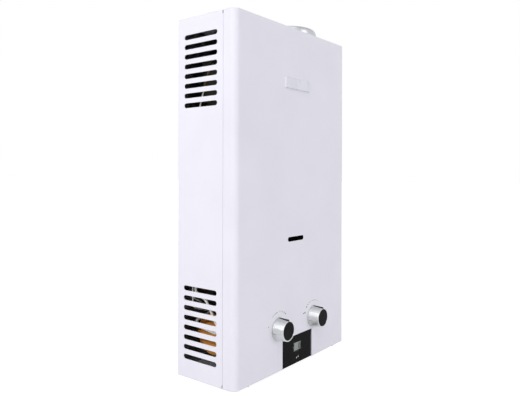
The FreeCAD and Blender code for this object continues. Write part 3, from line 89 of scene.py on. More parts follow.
# %% Place the camera
heading, tilt, roll = math.radians(51.896), math.radians(0.361), math.radians(0.128)
ahead = Vector((math.sin(heading) * math.cos(tilt), math.cos(heading) * math.cos(tilt),
                math.sin(tilt)))
bpy.ops.object.camera_add(location=Vector((-791.9, -662.9, 334.7)) * MM)
camera = bpy.context.object
camera.name = "camera"
camera.rotation_mode = "QUATERNION"
camera.rotation_quaternion = ahead.to_track_quat("-Z", "Y") @ Quaternion((0, 0, 1), roll)
camera.data.sensor_width = 36.0
camera.data.lens = 37.41
picture_width, shift_down = 520, 30             # in points of the picture
camera.data.shift_y = -shift_down / picture_width
bpy.context.scene.camera = camera
print("camera", camera.data.lens, "mm lens, looking", [round(c, 3) for c in ahead])

# %% [markdown]
# ## A node and a colour
#
# Every finish below is a small network of nodes. Building one by hand means adding a node,
# setting it and drawing links to it, so one function does just that. Colours are written as the
# sRGB hex values that a colour picker shows. A shader needs them linear, so a second function
# turns them.

# %% Add a node, read a colour
def add(tree, kind, settings={}, inputs={}):
    """Adds a shader node, sets its own settings, and sets or links its inputs."""
    node = tree.nodes.new("ShaderNode" + kind)
    for name, value in settings.items():
        setattr(node, name, value)
    for name, value in inputs.items():
        if isinstance(value, bpy.types.NodeSocket):
            tree.links.new(value, node.inputs[name])
        else:
            node.inputs[name].default_value = value
    return node


def hex_colour(code):
    """An sRGB hex colour as the linear colour that a shader takes."""
    parts = [int(code[k:k + 2], 16) / 255 for k in (1, 3, 5)]
    return [c / 12.92 if c < 0.04045 else ((c + 0.055) / 1.055) ** 2.4 for c in parts] + [1.0]


print("mid grey", [round(c, 3) for c in hex_colour("#808080")])

# %% [markdown]
# ## Sky, lamps and floor
#
# White goods are shown in a tent of white cloth, where no edge of a lamp is seen. The sky
# that the camera sees here is plain white, and a dimmer sky lights the heater, brightest near
# the horizon and darker overhead, so round metal shows bands. A broad weak sun gives the shadow
# its side. A large soft lamp on the left makes the side of the case brighter than its front,
# and a smaller one in front keeps the front clean.
# The floor is white paper on a light table: it glows for the camera, so it stays white as far
# as it goes and keeps only a faint shadow, and it glows a little in reflections. A lamp alone
# would leave it grey far away.

# %% Sky
world = bpy.data.worlds.new("white tent")
world.use_nodes = True
bpy.context.scene.world = world
tent = world.node_tree
tent.nodes.clear()
seen = add(tent, "Background", {}, {"Color": hex_colour("#FFFFFF"), "Strength": 1.0})
direction = add(tent, "TexCoord").outputs["Generated"]
height = add(tent, "SeparateXYZ", {}, {"Vector": direction}).outputs["Z"]
dimmed = add(tent, "MapRange", {}, {"Value": height, "From Min": 0.1, "From Max": 0.9,
                                    "To Min": 0.98, "To Max": 0.5})
lighting = add(tent, "Background", {}, {"Color": hex_colour("#FAFAFF"),
                                        "Strength": dimmed.outputs[0]})
either = add(tent, "MixShader", {}, {0: add(tent, "LightPath").outputs["Is Camera Ray"],
                                     1: lighting.outputs[0], 2: seen.outputs[0]})
add(tent, "OutputWorld", {}, {"Surface": either.outputs[0]})
bpy.context.scene.view_settings.view_transform = "Standard"
print("sky", len(tent.nodes), "nodes")


# %% Lamps
def lamp(kind, name, at, aim, strength):
    """A lamp at a point, turned towards another, both in metres."""
    bpy.ops.object.light_add(type=kind, location=at)
    light = bpy.context.object
    light.name = name
    light.rotation_euler = (Vector(aim) - Vector(at)).to_track_quat("-Z", "Y").to_euler()
    light.data.energy = strength
    return light


sun = lamp("SUN", "broad_sun", (-1.1, -1.0, 2.4), (0, 0, 0), 0.6)
sun.data.angle = math.radians(50)
softbox = lamp("AREA", "left_softbox", (-1.95, -0.05, 1.4), (0, -0.05, 0.3), 24)
softbox.data.size = 1.6
front_box = lamp("AREA", "front_softbox", (0.45, -2.2, 0.4), (0, -0.1, 0.3), 8.5)
front_box.data.size = 1.0

# %% Floor
floor_z = cad_box[0].z
bpy.ops.mesh.primitive_plane_add(size=40, location=(0, 0, floor_z))
floor = bpy.context.object
floor.name = "floor"
paper = bpy.data.materials.new("white background paper")
paper.use_nodes = True
paper_shader = paper.node_tree.nodes["Principled BSDF"]
paper_shader.inputs["Base Color"].default_value = hex_colour("#C9C9CB")
paper_shader.inputs["Roughness"].default_value = 0.9
paper_shader.inputs["Emission Color"].default_value = hex_colour("#FFFFFF")
ray = add(paper.node_tree, "LightPath").outputs
direct = add(paper.node_tree, "Math", {"operation": "MULTIPLY"}, {0: ray["Is Camera Ray"], 1: 0.85})
glow = add(paper.node_tree, "Math", {"operation": "MULTIPLY_ADD"},
           {0: ray["Is Glossy Ray"], 1: 0.3, 2: direct.outputs[0]})
paper.node_tree.links.new(glow.outputs[0], paper_shader.inputs["Emission Strength"])
floor.data.materials.append(paper)
print("floor at", round(floor_z / MM, 1), "mm")

# %% [markdown]
# ## How a finish is built
#
# Each finish starts from what the real one is. A shader takes the values that are the same all
# over, such as how metallic it is. What changes from place to place comes from noise read at
# the object's own coordinates, in metres, so a scale of one over a length draws spots of about
# that length. Most surfaces here need the same three things: a colour that wanders between two
# shades, a shine that wanders with it, and a fine relief. `coloured` links them to a shader, and
# `mottled` draws them from noise. Sizes are real ones in millimetres.

# %% A plain finish and a mottled one
def finish(name, values):
    """A new material, its nodes, its shader with uniform values set, and the place of a point."""
    material = bpy.data.materials.new(name)
    material.use_nodes = True
    tree = material.node_tree
    shader = tree.nodes["Principled BSDF"]
    for socket, value in values.items():
        shader.inputs[socket].default_value = value
    return material, tree, shader, add(tree, "TexCoord").outputs["Object"]


def noise(tree, at, size, detail=2.0):
    """Noise read at a place, with spots of a size in mm."""
    spots = add(tree, "TexNoise", {}, {"Vector": at, "Scale": 1 / (size * MM), "Detail": detail})
    return spots.outputs[0]


def coloured(tree, shader, share, shades, rough, height, depth):
    """Colour and shine that follow a share, and a relief from a height, linked to a shader."""
    colour = add(tree, "Mix", {"data_type": "RGBA"},
                 {0: share, 6: hex_colour(shades[0]), 7: hex_colour(shades[1])})
    shine = add(tree, "MapRange", {}, {"Value": share, "To Min": rough[0], "To Max": rough[1]})
    bump = add(tree, "Bump", {}, {"Distance": depth * MM, "Height": height})
    tree.links.new(colour.outputs[2], shader.inputs["Base Color"])
    tree.links.new(shine.outputs[0], shader.inputs["Roughness"])
    tree.links.new(bump.outputs[0], shader.inputs["Normal"])


def mottled(name, shades, blotch, relief, depth, rough, values={}):
    """A colour between two shades in blotches, shine that follows it, and a fine relief."""
    material, tree, shader, place = finish(name, values)
    spread = add(tree, "MapRange", {}, {"Value": noise(tree, place, blotch, 3.0),
                                        "From Min": 0.3, "From Max": 0.7}).outputs[0]
    coloured(tree, shader, spread, shades, rough, noise(tree, place, relief), depth)
    return material


print("spots of 8 mm take a scale of", round(1 / (8 * MM)))

# %% [markdown]
# ## Powder-coated steel
#
# The case is mild steel under white powder coat. The powder melts in an oven and sets with a
# faint orange peel, waves about 3 mm long and some hundredths of a millimetre deep. The eye
# gets a cool white with soft, slightly uneven reflections and never a sharp one.

# %% Case, badge and print
white_coat = mottled("powder-coated steel, cool white", ("#DEDDE4", "#E2E1E8"), 90, 3.0, 0.012,
                     (0.46, 0.54), {"Specular IOR Level": 0.35})
badge_coat = mottled("satin-lacquered badge plate", ("#D3D3DB", "#DEDEE6"), 40, 0.8, 0.006,
                     (0.24, 0.3), {"Coat Weight": 0.35, "Coat Roughness": 0.12})
badge_trim = mottled("bright-anodised aluminium", ("#F0F0F2", "#F7F7F9"), 12, 0.7, 0.001,
                     (0.14, 0.2), {"Metallic": 1.0})
dial_ink = mottled("screen-printed grey ink", ("#4C4C54", "#5E5E66"), 3, 0.4, 0.003, (0.5, 0.6))
print(white_coat.name, "|", badge_coat.name, "|", badge_trim.name, "|", dial_ink.name)

# %% [markdown]
# ## Hot-dip galvanised steel
#
# The back and the brackets are galvanised. Zinc freezes on the sheet in flat crystals, the
# spangle, about 8 mm across here. Each crystal mirrors the light in its own direction, so the
# eye sees patches of light and dark grey. Voronoi cells have that shape, and each cell's
# random colour turned to grey sets its shade and its shine.

# %% Galvanised sheet
galvanised, tree, shader, place = finish("hot-dip galvanised steel", {"Metallic": 1.0})
crystals = add(tree, "TexVoronoi", {}, {"Vector": place, "Scale": 1 / (8 * MM), "Randomness": 1.0})
facet = add(tree, "RGBToBW", {}, {"Color": crystals.outputs["Color"]}).outputs[0]
coloured(tree, shader, facet, ("#7C8083", "#A5A9AB"), (0.32, 0.5), noise(tree, place, 1.2), 0.01)
print(galvanised.name)

# %% [markdown]
# ## Metals that were turned, drawn or brushed round an axis
#
# The knob barrels are brushed in a lathe, and the flue collar is spun over a form. Both keep
# fine rings round their axis. A ring is one distance out and one height along, so noise is read
# at those two numbers and not at the point itself. The real lines are a tenth of a millimetre
# apart. They are drawn 0.35 to 0.6 mm wide here, so that they show. Lines this fine spread a
# highlight across themselves, so the shine is anisotropic. Its tangent runs round the axis, and
# a quarter turn sets the spread across it.

# %% Metal with rings round an axis
def ringed(name, shades, centre, axis, line, depth, rough):
    """A metal with fine rings round an axis through a centre in mm."""
    material, tree, shader, place = finish(name, {"Metallic": 1.0, "Anisotropic": 0.85,
                                                  "Anisotropic Rotation": 0.25})
    here = add(tree, "VectorMath", {"operation": "SUBTRACT"},
               {0: place, 1: [c * MM for c in centre]})
    outward = add(tree, "VectorMath", {"operation": "MULTIPLY"},
                  {0: here.outputs[0], 1: [1 - a for a in axis]})
    out = add(tree, "VectorMath", {"operation": "LENGTH"}, {0: outward.outputs[0]})
    along = add(tree, "VectorMath", {"operation": "DOT_PRODUCT"}, {0: here.outputs[0], 1: axis})
    ring = add(tree, "CombineXYZ", {}, {"X": out.outputs["Value"], "Y": along.outputs["Value"]})
    lines, wear = noise(tree, ring.outputs[0], line), noise(tree, place, 14)
    both = add(tree, "Mix", {}, {0: 0.35, 2: lines, 3: wear})
    spread = add(tree, "MapRange", {}, {"Value": both.outputs[0],
                                        "From Min": 0.35, "From Max": 0.65}).outputs[0]
    coloured(tree, shader, spread, shades, rough, lines, depth)
    round_way = add(tree, "VectorMath", {"operation": "CROSS_PRODUCT"},
                    {0: axis, 1: here.outputs[0]})
    turn = add(tree, "VectorTransform",
               {"vector_type": "VECTOR", "convert_from": "OBJECT", "convert_to": "WORLD"},
               {"Vector": round_way.outputs[0]})
    tree.links.new(turn.outputs[0], shader.inputs["Tangent"])
    return material


knob_x, knob_z = 54.0, 72.5
flue_x, flue_y = 72.0, -57.0
barrel_metal = {side: ringed("anodised aluminium, brushed, " + name, ("#DBDEDC", "#EAECEA"),
                             (side * knob_x, 0, knob_z), (0, 1, 0), 0.35, 0.003, (0.36, 0.44))
                for side, name in ((-1, "water knob"), (1, "gas knob"))}
collar_metal = ringed("aluminised steel, spun", ("#D2D4D5", "#E4E6E7"), (flue_x, flue_y, 0),
                      (0, 0, 1), 0.6, 0.012, (0.34, 0.46))
print([m.name for m in (*barrel_metal.values(), collar_metal)])

# %% A rim cut with a diamond tool, polished
def coordinate(tree, axis):
    """One of the object's own coordinates, in metres."""
    place = add(tree, "TexCoord").outputs["Object"]
    return add(tree, "SeparateXYZ", {}, {"Vector": place}).outputs[axis]


polished_to, brushed_from = -145.8, -145.6      # places along the knobs' axis
for metal in barrel_metal.values():
    tree = metal.node_tree
    shader = tree.nodes["Principled BSDF"]
    brushed = add(tree, "MapRange", {}, {"Value": coordinate(tree, "Y"),
                                         "From Min": polished_to * MM,
                                         "From Max": brushed_from * MM})
    shine = add(tree, "Mix", {}, {0: brushed.outputs[0], 2: 0.08,
                                  3: shader.inputs["Roughness"].links[0].from_socket})
    tree.links.new(shine.outputs[0], shader.inputs["Roughness"])
print("polished in front of", brushed_from, "mm")

# %% [markdown]
# ## Brass, copper and the other metals inside
#
# Valves and fittings are forged brass, tumbled and left bare, so they have gone golden brown.
# The exchanger and its pipes are copper, darker where they have been hot. The chamber round the
# flames is tinned. It and the hood are painted dark grey as the shade inside the case that the
# vents show. Burners are aluminised steel, dulled by the flame. The gas valve is pressure
# die-cast aluminium with the matt skin of its mould. Screws carry bluish zinc, and springs are
# bright wire. A metal keeps the default index of refraction, and its colour does the work.

# %% Metals
bare = {"Metallic": 1.0}
brass = mottled("forged brass, bare", ("#B57A36", "#CB8F45"), 9, 0.9, 0.012, (0.28, 0.42), bare)
copper = mottled("drawn copper, heat-tinted", ("#9C5A3A", "#C98361"), 22, 1.0, 0.008,
                 (0.25, 0.4), bare)
burner_steel = mottled("aluminised steel, heat-dulled", ("#77736F", "#A19D98"), 14, 0.8, 0.01,
                       (0.42, 0.6), bare)
# the hood and the chamber's tin are dark grey as painted shade inside the case
hood_steel_painted_shade = mottled("galvanised steel, painted dark as shade", ("#36342E", "#4A463E"), 30, 1.0, 0.01,
                     (0.45, 0.62), bare)
tinned_copper_painted_shade = mottled("tinned copper, painted dark as shade", ("#3A372F", "#4C483F"), 25, 1.0, 0.01,
                        (0.42, 0.58), bare)
die_cast = mottled("die-cast aluminium", ("#9A9D9F", "#B3B6B8"), 7, 0.7, 0.02, (0.45, 0.6), bare)
zinc = mottled("zinc-plated steel", ("#AEB6BE", "#CBD2D8"), 3, 0.4, 0.006, (0.22, 0.36), bare)
spring_steel = mottled("bright spring steel", ("#A9A9A8", "#C9C9C8"), 4, 0.3, 0.004,
                       (0.18, 0.3), bare)
print([m.name for m in (brass, copper, burner_steel, hood_steel_painted_shade, tinned_copper_painted_shade, die_cast, zinc,
                        spring_steel)])

# %% [markdown]
# ## Plastics, rubber, ceramic and mica
# Knob caps, battery box and spark box are black ABS from a sparked mould, which leaves a grain
# of about 0.6 mm and a dull sheen. The display's front is acrylic, polished like a mirror under
# a little dust. Leads wear soft white silicone. Electrodes are cream steatite with a thin
# glaze. The pane behind the sight slot is split mica. It is painted a brownish near black as the
# shade of the dark chamber behind it, and it lies too deep to catch the light, so its reflection
# is turned off.

# %% Plastics and minerals
black_abs = mottled("ABS, black, spark-textured", ("#0A090B", "#0F0E10"), 12, 0.6, 0.02,
                    (0.42, 0.55), {"Specular IOR Level": 0.08})
black_acrylic = mottled("acrylic, gloss black", ("#060607", "#0A0A0B"), 25, 5.0, 0.002,
                        (0.06, 0.14), {"IOR": 1.49, "Specular IOR Level": 0.05})
clear_acrylic = mottled("acrylic, clear", ("#F2F6F4", "#FFFFFF"), 20, 4.0, 0.001, (0.01, 0.04),
                        {"IOR": 1.49, "Specular IOR Level": 0.05, "Transmission Weight": 1.0})
rubber = mottled("nitrile rubber", ("#17171A", "#232326"), 6, 0.5, 0.015, (0.6, 0.75))
fibre = mottled("vulcanised fibre", ("#5A2A20", "#7A3B2C"), 3, 0.3, 0.01, (0.6, 0.75))
silicone = mottled("silicone rubber, white", ("#DEDCD4", "#EFEDE6"), 10, 0.5, 0.006, (0.4, 0.52),
                   {"Subsurface Weight": 0.05})
lead_rubber = mottled("silicone rubber, red-brown", ("#4A1D10", "#5C2615"), 10, 0.5, 0.006,
                      (0.4, 0.52))
steatite = mottled("steatite, glazed cream", ("#E2DCCB", "#F0EBDD"), 6, 0.5, 0.004, (0.16, 0.28))
# the pane's near-black colour is painted shade of the dark chamber behind it
mica = mottled("mica sheet, painted shade-black", ("#040302", "#080504"), 6, 2.0, 0.004, (0.15, 0.3),
               {"IOR": 1.58, "Specular IOR Level": 0.0})
board_green = mottled("circuit board, green", ("#0F4A2A", "#1D6B40"), 5, 1.2, 0.02, (0.3, 0.45),
                      {"IOR": 1.5})
print([m.name for m in (black_abs, black_acrylic, clear_acrylic, rubber, fibre, silicone,
                        lead_rubber, steatite, mica, board_green)])

# %% [markdown]
# ## Sleeves that the heat has browned
#
# Beside the burner the white sleeves have turned brown. A second material could be used there,
# but heat leaves no line. So the colour changes over a few millimetres of height, and the
# height is read from the object's coordinates.

# %% Browned above the burner
white_to, brown_from = 466, 474                 # heights in mm
tree = silicone.node_tree
shader = tree.nodes["Principled BSDF"]
heat = add(tree, "MapRange", {}, {"Value": coordinate(tree, "Z"), "From Min": white_to * MM,
                                  "From Max": brown_from * MM})
clean = shader.inputs["Base Color"].links[0].from_socket
browned = add(tree, "Mix", {"data_type": "RGBA"},
              {0: heat.outputs[0], 6: clean, 7: hex_colour("#7A431C")})
tree.links.new(browned.outputs[2], shader.inputs["Base Color"])
print(silicone.name, "browns between", white_to, "and", brown_from, "mm")

# %% [markdown]
# ## The finish of every imported part
#
# Each imported part already names the finish that it needs, in the record's material slots. A
# table from slot to material dresses them all in one go. Four parts have a finish of their
# own: the draft hood and the chamber's tin are painted dark grey as shade inside the case, the
# spark leads are red-brown so that nobody takes them for the others, and the water valve's
# screws are brass. Only the material changes: the mesh stays as it was packed.

# %% Dress the imported parts
finish_of = {
    "white_enamel": white_coat, "galvanised_steel": galvanised, "flue_metal": collar_metal,
    "zinc_screw": zinc, "badge_plate": badge_coat, "mica": mica, "black_panel": black_acrylic,
    "clear_lens": clear_acrylic, "circuit_board": board_green, "satin_aluminium": barrel_metal[1],
    "black_abs": black_abs, "brass": brass, "copper": copper, "burner_steel": burner_steel,
    "die_cast": die_cast, "rubber": rubber, "fibre_washer": fibre, "spring_steel": spring_steel,
    "ceramic_steatite": steatite, "white_silicone": silicone,
}
# the hood and the chamber's tin carry painted shade: dark grey, as the case is dark inside
finish_of_node = {"draft_hood": hood_steel_painted_shade, "combustion_chamber": tinned_copper_painted_shade,
                  "ignition_leads": lead_rubber, "diaphragm_screws": brass}
slot_of = {part["node"]: part["material_slot"] for part in frame["record"]["subparts"]}
for node, packed in frame["nodes"].items():
    for holder in packed.material_slots:
        holder.material = finish_of_node.get(node) or finish_of[slot_of[node]]
print("dressed", len(frame["nodes"]), "packed parts in", len(set(slot_of.values())), "finishes")

# %% [markdown]
# ## Modelling by hand, in code
#
# The pieces that follow are made as they would be at the screen: add a block, pick some edges,
# bevel them. A selection made with the mouse becomes a test on where an edge or a face is. Each
# helper first leaves nothing else selected, because the operators act on all that is.

# %% Start a block, pick its edges
def alone(piece):
    """Leaves just this piece selected, in object mode."""
    if bpy.context.mode != "OBJECT":
        bpy.ops.object.mode_set(mode="OBJECT")
    bpy.ops.object.select_all(action="DESELECT")
    piece.select_set(True)
    bpy.context.view_layer.objects.active = piece


def settled(name):
    """Names the new object and puts its place, turn and size into its mesh."""
    piece = bpy.context.object
    alone(piece)
    piece.name = piece.data.name = name
    bpy.ops.object.transform_apply(location=True, rotation=True, scale=True)
    return piece


def block(name, low, high):
    """A cube stretched between two corners, in mm."""
    middle = [(a + b) / 2 * MM for a, b in zip(low, high)]
    bpy.ops.mesh.primitive_cube_add(size=1, location=middle)
    bpy.context.object.scale = [(b - a) * MM for a, b in zip(low, high)]
    return settled(name)


def pick(piece, kind, test):
    """Edit mode with only those corners, edges or faces selected that pass a test."""
    alone(piece)
    bpy.ops.object.mode_set(mode="EDIT")
    bpy.ops.mesh.select_mode(type=kind)
    bpy.ops.mesh.select_all(action="DESELECT")
    bpy.ops.object.mode_set(mode="OBJECT")
    mesh = piece.data
    if kind == "FACE":
        for face in mesh.polygons:
            face.select = bool(test(face.center / MM, face.normal))
    elif kind == "EDGE":
        for edge in mesh.edges:
            a, b = (mesh.vertices[k].co / MM for k in edge.vertices)
            edge.select = bool(test((a + b) / 2, b - a))
    else:
        for corner in mesh.vertices:
            corner.select = bool(test(corner.co / MM, corner.normal))
    bpy.ops.object.mode_set(mode="EDIT")


print("placed and picked in mm,", round(1 / MM), "to the metre")

# %% Modify, cut, melt together
def modified(piece, kind, **values):
    """Adds a modifier with its values and applies it."""
    alone(piece)
    modifier = piece.modifiers.new(kind.lower(), kind)
    for name, value in values.items():
        setattr(modifier, name, value)
    bpy.ops.object.modifier_apply(modifier=modifier.name)
    return piece


def cut(piece, *tools):
    """Cuts the tools out of a piece and throws them away."""
    for tool in tools:
        modified(piece, "BOOLEAN", operation="DIFFERENCE", object=tool, solver="EXACT")
        bpy.data.objects.remove(tool)
    return piece


def fused(piece, *parts):
    """Melts more parts into a piece."""
    for part in parts:
        modified(piece, "BOOLEAN", operation="UNION", object=part, solver="EXACT")
        bpy.data.objects.remove(part)
    return piece


print("a modifier is applied at once, and a tool is thrown away")

# %% Soften, smooth, dress
def eased(piece, radius, segments=2, angle=35):
    """Rounds every sharp edge a little, as paint and handling do, and shades the piece smooth."""
    modified(piece, "BEVEL", width=radius * MM, segments=segments, limit_method="ANGLE",
             angle_limit=math.radians(angle))
    return smoothed(piece, angle)


def smoothed(piece, angle=35):
    """Smooth shading that keeps edges sharper than the angle and flat faces flat."""
    alone(piece)
    bpy.ops.object.shade_smooth_by_angle(angle=math.radians(angle))
    return modified(piece, "WEIGHTED_NORMAL", keep_sharp=True)


def dressed(piece, material, body, slot, *nodes):
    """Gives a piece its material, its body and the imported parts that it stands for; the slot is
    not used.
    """
    piece.data.materials.clear()
    piece.data.materials.append(material)
    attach(piece, body)
    if nodes:
        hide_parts(*nodes)
    piece.data.calc_loop_triangles()
    print(piece.name, len(piece.data.loop_triangles), "triangles")
    return piece


print("edges are softened and shaded before a piece is dressed")

# %% [markdown]
# ## The front cover
#
# The cover is a shallow pan of 1 mm sheet. A press draws its upright corners to a radius of
# 11 mm, and the top and bottom are folded almost sharp. A solid block with its back off, its
# edges bevelled and a wall given by Solidify has just that shape, and its corners stay smoother
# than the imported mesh. The display opening is cut into the flat front first, and its edges are
# pushed back 2 mm, so the wall follows them round as the folded sheet does.

# %% The drawn pan
half_w, front_y, case_h, sheet = 167.5, -125.0, 590.0, 1.0
flange_back, corner_r, fold_r = -100.25, 11, 1.2
cover = block("front_cover_shell", (-half_w, front_y, 0), (half_w, flange_back, case_h))
pick(cover, "FACE", lambda at, way: way.y > 0.9)
bpy.ops.mesh.delete(type="FACE")
pick(cover, "EDGE", lambda at, run: abs(run.z) > 500 and at.y < front_y + 1)
bpy.ops.mesh.bevel(offset=corner_r * MM, segments=12, affect="EDGES")
pick(cover, "EDGE", lambda at, run: abs(run.z) < 0.01 and at.y < flange_back - 0.01)
bpy.ops.mesh.bevel(offset=fold_r * MM, segments=4, affect="EDGES")
bpy.ops.object.mode_set(mode="OBJECT")
print("pan", len(cover.data.polygons), "faces")

# %% The display opening, folded back at its edges
left, right, top, pushed_back = -42.7, 49.2, 50.8, 2
for place, way in (((left, 0, 0), (1, 0, 0)), ((right, 0, 0), (1, 0, 0)), ((0, 0, top), (0, 0, 1))):
    pick(cover, "FACE", lambda at, facing: at.z < 100 or abs(facing.y) > 0.99)
    bpy.ops.mesh.bisect(plane_co=[c * MM for c in place], plane_no=way)
pick(cover, "FACE", lambda at, way: left < at.x < right and at.z < top and at.y < -101)
bpy.ops.mesh.delete(type="FACE")
pick(cover, "EDGE", lambda at, run: at.y < front_y + 0.01 and at.z < top + 0.01
     and (abs(at.x - left) < 0.01 or abs(at.x - right) < 0.01
          or (abs(at.z - top) < 0.01 and left < at.x < right)))
bpy.ops.mesh.extrude_region_move(TRANSFORM_OT_translate={"value": (0, pushed_back * MM, 0)})
bpy.ops.object.mode_set(mode="OBJECT")
modified(cover, "SOLIDIFY", thickness=sheet * MM, offset=-1, use_even_offset=True)
print("cover", len(cover.data.polygons), "faces")


# %% Slots, holes and the edges that the top and bottom plates cover
def slot_tool(low, high, through):
    """A block with full-round ends that cuts a slot along an axis, 0 for x to 2 for z."""
    tool = block("slot_tool", low, high)
    width = min(abs(b - a) for k, (a, b) in enumerate(zip(low, high)) if k != through)
    pick(tool, "EDGE", lambda at, run: abs(run[through]) > 0.9 * run.length)
    bpy.ops.mesh.bevel(offset=width / 2 * MM * 0.999, segments=8, affect="EDGES")
    bpy.ops.object.mode_set(mode="OBJECT")
    return tool


def rod(name, at, turn, radius, depth, corners):
    """A cylinder about a point in mm, turned from upright."""
    bpy.ops.mesh.primitive_cylinder_add(vertices=corners, radius=radius * MM, depth=depth * MM,
                                        location=[c * MM for c in at], rotation=turn)
    return settled(name)


upright, facing_front = (0, 0, 0), (math.pi / 2, 0, 0)
lip_y, under_plate = -114.15, 1.15              # behind lip_y the plates lie on the pan
hook_x, hook_low, screw_y = 130, 587.85, -119.65
cut(cover, block("tool", (-170, lip_y, case_h - under_plate), (170, -99, case_h + 2)),
    block("tool", (-170, lip_y, -2), (170, -99, under_plate)),
    slot_tool((-27.3, -130, 216.3), (21.6, -120, 224.4), 1),
    *[rod("shaft_hole", (x, front_y, knob_z), facing_front, 8, 10, 48) for x in (-knob_x, knob_x)],
    *[rod("screw_hole", (x, screw_y, 0), upright, 2, 6, 24) for x in (-hook_x, hook_x)])
for x in (-hook_x, hook_x):                     # two hooks that grip under the top plate
    fused(cover, block("hook_root", (x - 10, -120, hook_low), (x + 10, lip_y, 589.2)),
          block("hook", (x - 10, -120, hook_low), (x + 10, -102, 588.85)))
eased(cover, 0.25)
dressed(cover, white_coat, "case", "white_enamel", "front_cover")

# %% [markdown]
# ## The vented sides
#
# Each side is one sheet with two rows of eight punched slots, and its edges are folded inwards.
# The folds could be separate strips, but then the corners would not be one piece. Here the
# sheet is sliced where each fold starts, and the strips between the slices are extruded
# inwards. One slot is modelled and copied, all the copies are joined, and one cut makes all
# sixteen holes. The other side is a mirrored copy.

# %% A sheet with folded edges
wall_in, seam_back = half_w - sheet, -99.8
side = block("right_side_shell", (wall_in, seam_back, sheet), (half_w, 0, case_h - sheet))
folds = {     # name: which strip of the inner face, and how far it is folded in
    "back": (lambda at: -2 < at.y < -1 and 3 < at.z < case_h - 3, 12),
    "top": (lambda at: at.z > case_h - 2 and at.y < -2, 12),
    "bottom": (lambda at: at.z < 2 and at.y < -2, 12),
    "seam": (lambda at: at.y < seam_back + 1 and 8 < at.z < case_h - 8, 8),
}
slices = [((0, y, 0), (0, 1, 0)) for y in (-1, -2, seam_back + 1)]
slices += [((0, 0, z), (0, 0, 1)) for z in (2, 3, 8, case_h - 2, case_h - 3, case_h - 8)]
for place, way in slices:
    pick(side, "FACE", lambda at, facing: True)
    bpy.ops.mesh.bisect(plane_co=[c * MM for c in place], plane_no=way)
for strip, depth in folds.values():
    pick(side, "FACE", lambda at, way: way.x < -0.9 and at.x > wall_in - 0.1 and strip(at))
    bpy.ops.mesh.extrude_region_move(TRANSFORM_OT_translate={"value": (-depth * MM, 0, 0)})
bpy.ops.object.mode_set(mode="OBJECT")
print("sheet with", len(folds), "folds,", len(side.data.polygons), "faces")

# %% Sixteen slots and the notches at the ends of the seam
def joined(name, pieces):
    """Joins pieces into one mesh and names it."""
    alone(pieces[0])
    for piece in pieces:
        piece.select_set(True)
    bpy.ops.object.join()
    return settled(name)


slot_front, slot_back, slot_h, slot_pitch = -87.4, -14.4, 8, 16
lowest, highest = 34.5, case_h - 32.3
heights = [lowest + slot_pitch * k for k in range(8)] + [highest - slot_pitch * k for k in range(8)]
slots = [slot_tool((wall_in - 3, slot_front, lowest - slot_h / 2),
                   (half_w + 3, slot_back, lowest + slot_h / 2), 0)]
for z in heights[1:]:
    alone(slots[0])
    bpy.ops.object.duplicate()
    bpy.ops.transform.translate(value=(0, 0, (z - lowest) * MM))
    slots.append(settled("slot_tool"))
cut(side, joined("slots", slots),
    block("tool", (150, -101, case_h - 6), (170, -98.35, case_h + 1)),
    block("tool", (150, -101, -1), (170, -98.35, 6)))
eased(side, 0.25)
alone(side)
bpy.ops.object.duplicate()
mirrored = bpy.context.object
mirrored.scale.x = -1
mirrored = settled("left_side_shell")
pick(mirrored, "FACE", lambda at, way: True)
bpy.ops.mesh.normals_make_consistent(inside=False)
bpy.ops.object.mode_set(mode="OBJECT")
smoothed(mirrored)
dressed(side, white_coat, "case", "white_enamel", "right_side_panel")
dressed(mirrored, white_coat, "case", "white_enamel", "left_side_panel")
print(len(heights), "slots a side")

# %% [markdown]
# ## Turned pieces
#
# Knob barrels, caps, the flue collar and the threaded connections are all round. Each is drawn
# once as an outline of radius and height, and spun about its axis. The outline is one corner
# that is extruded from point to point, as it would be with the pen in hand. Spin leaves a
# double seam and faces that may look inwards, so doubles are merged and the normals are
# recalculated.

# %% Spin an outline
def turned(name, outline, base, axis, steps):
    """A closed outline of (radius, height) points in mm, spun about an axis through its base."""
    along = Vector(axis)
    out = along.orthogonal().normalized()
    points = [(Vector(base) + out * r + along * h) * MM for r, h in [*outline, outline[0]]]
    bpy.ops.mesh.primitive_plane_add(size=MM, location=points[0])
    piece = settled(name)
    pick(piece, "VERT", lambda at, way: True)
    bpy.ops.mesh.merge(type="CENTER")
    for before, after in zip(points, points[1:]):
        bpy.ops.mesh.extrude_region_move(TRANSFORM_OT_translate={"value": after - before})
    bpy.ops.mesh.select_all(action="SELECT")
    bpy.ops.mesh.spin(steps=steps, angle=2 * math.pi, center=Vector(base) * MM, axis=along)
    bpy.ops.mesh.select_all(action="SELECT")
    bpy.ops.mesh.remove_doubles(threshold=1e-6)
    bpy.ops.mesh.normals_make_consistent(inside=False)
    bpy.ops.object.mode_set(mode="OBJECT")
    return piece


def arc(centre_r, centre_h, radius, start, end, count):
    """Points of a rounded corner in an outline, angles in degrees."""
    turns = [math.radians(start + (end - start) * k / count) for k in range(count + 1)]
    return [(centre_r + radius * math.cos(a), centre_h + radius * math.sin(a)) for a in turns]


print("a quarter round:", [tuple(round(c, 2) for c in p) for p in arc(0, 0, 1, 0, 90, 3)])

# %% [markdown]
# ## The flue collar
#
# The collar is one sheet, spun over a form: a foot on the top plate, an upright wall 12 mm
# high, a shoulder of 9 mm radius and a lip turned down inside the neck of the draft hood.

# %% Collar
outer = [(45, 0)] + arc(51.2, 0.8, 0.8, -90, 0, 3) + arc(43, 12, 9, 0, 90, 12)
lip = arc(38.2, 19.5, 1.5, 90, 180, 5) + [(36.7, 4), (37.7, 4)] + arc(38.7, 19.0, 1.0, 180, 90, 3)
inner = list(reversed(arc(43, 12, 8, 0, 90, 12))) + [(51, 1), (45, 1)]
collar = turned("flue_collar_spun", outer + lip + inner, (flue_x, flue_y, case_h), (0, 0, 1), 128)
smoothed(collar, 40)
dressed(collar, collar_metal, "case", "flue_metal", "flue_collar")

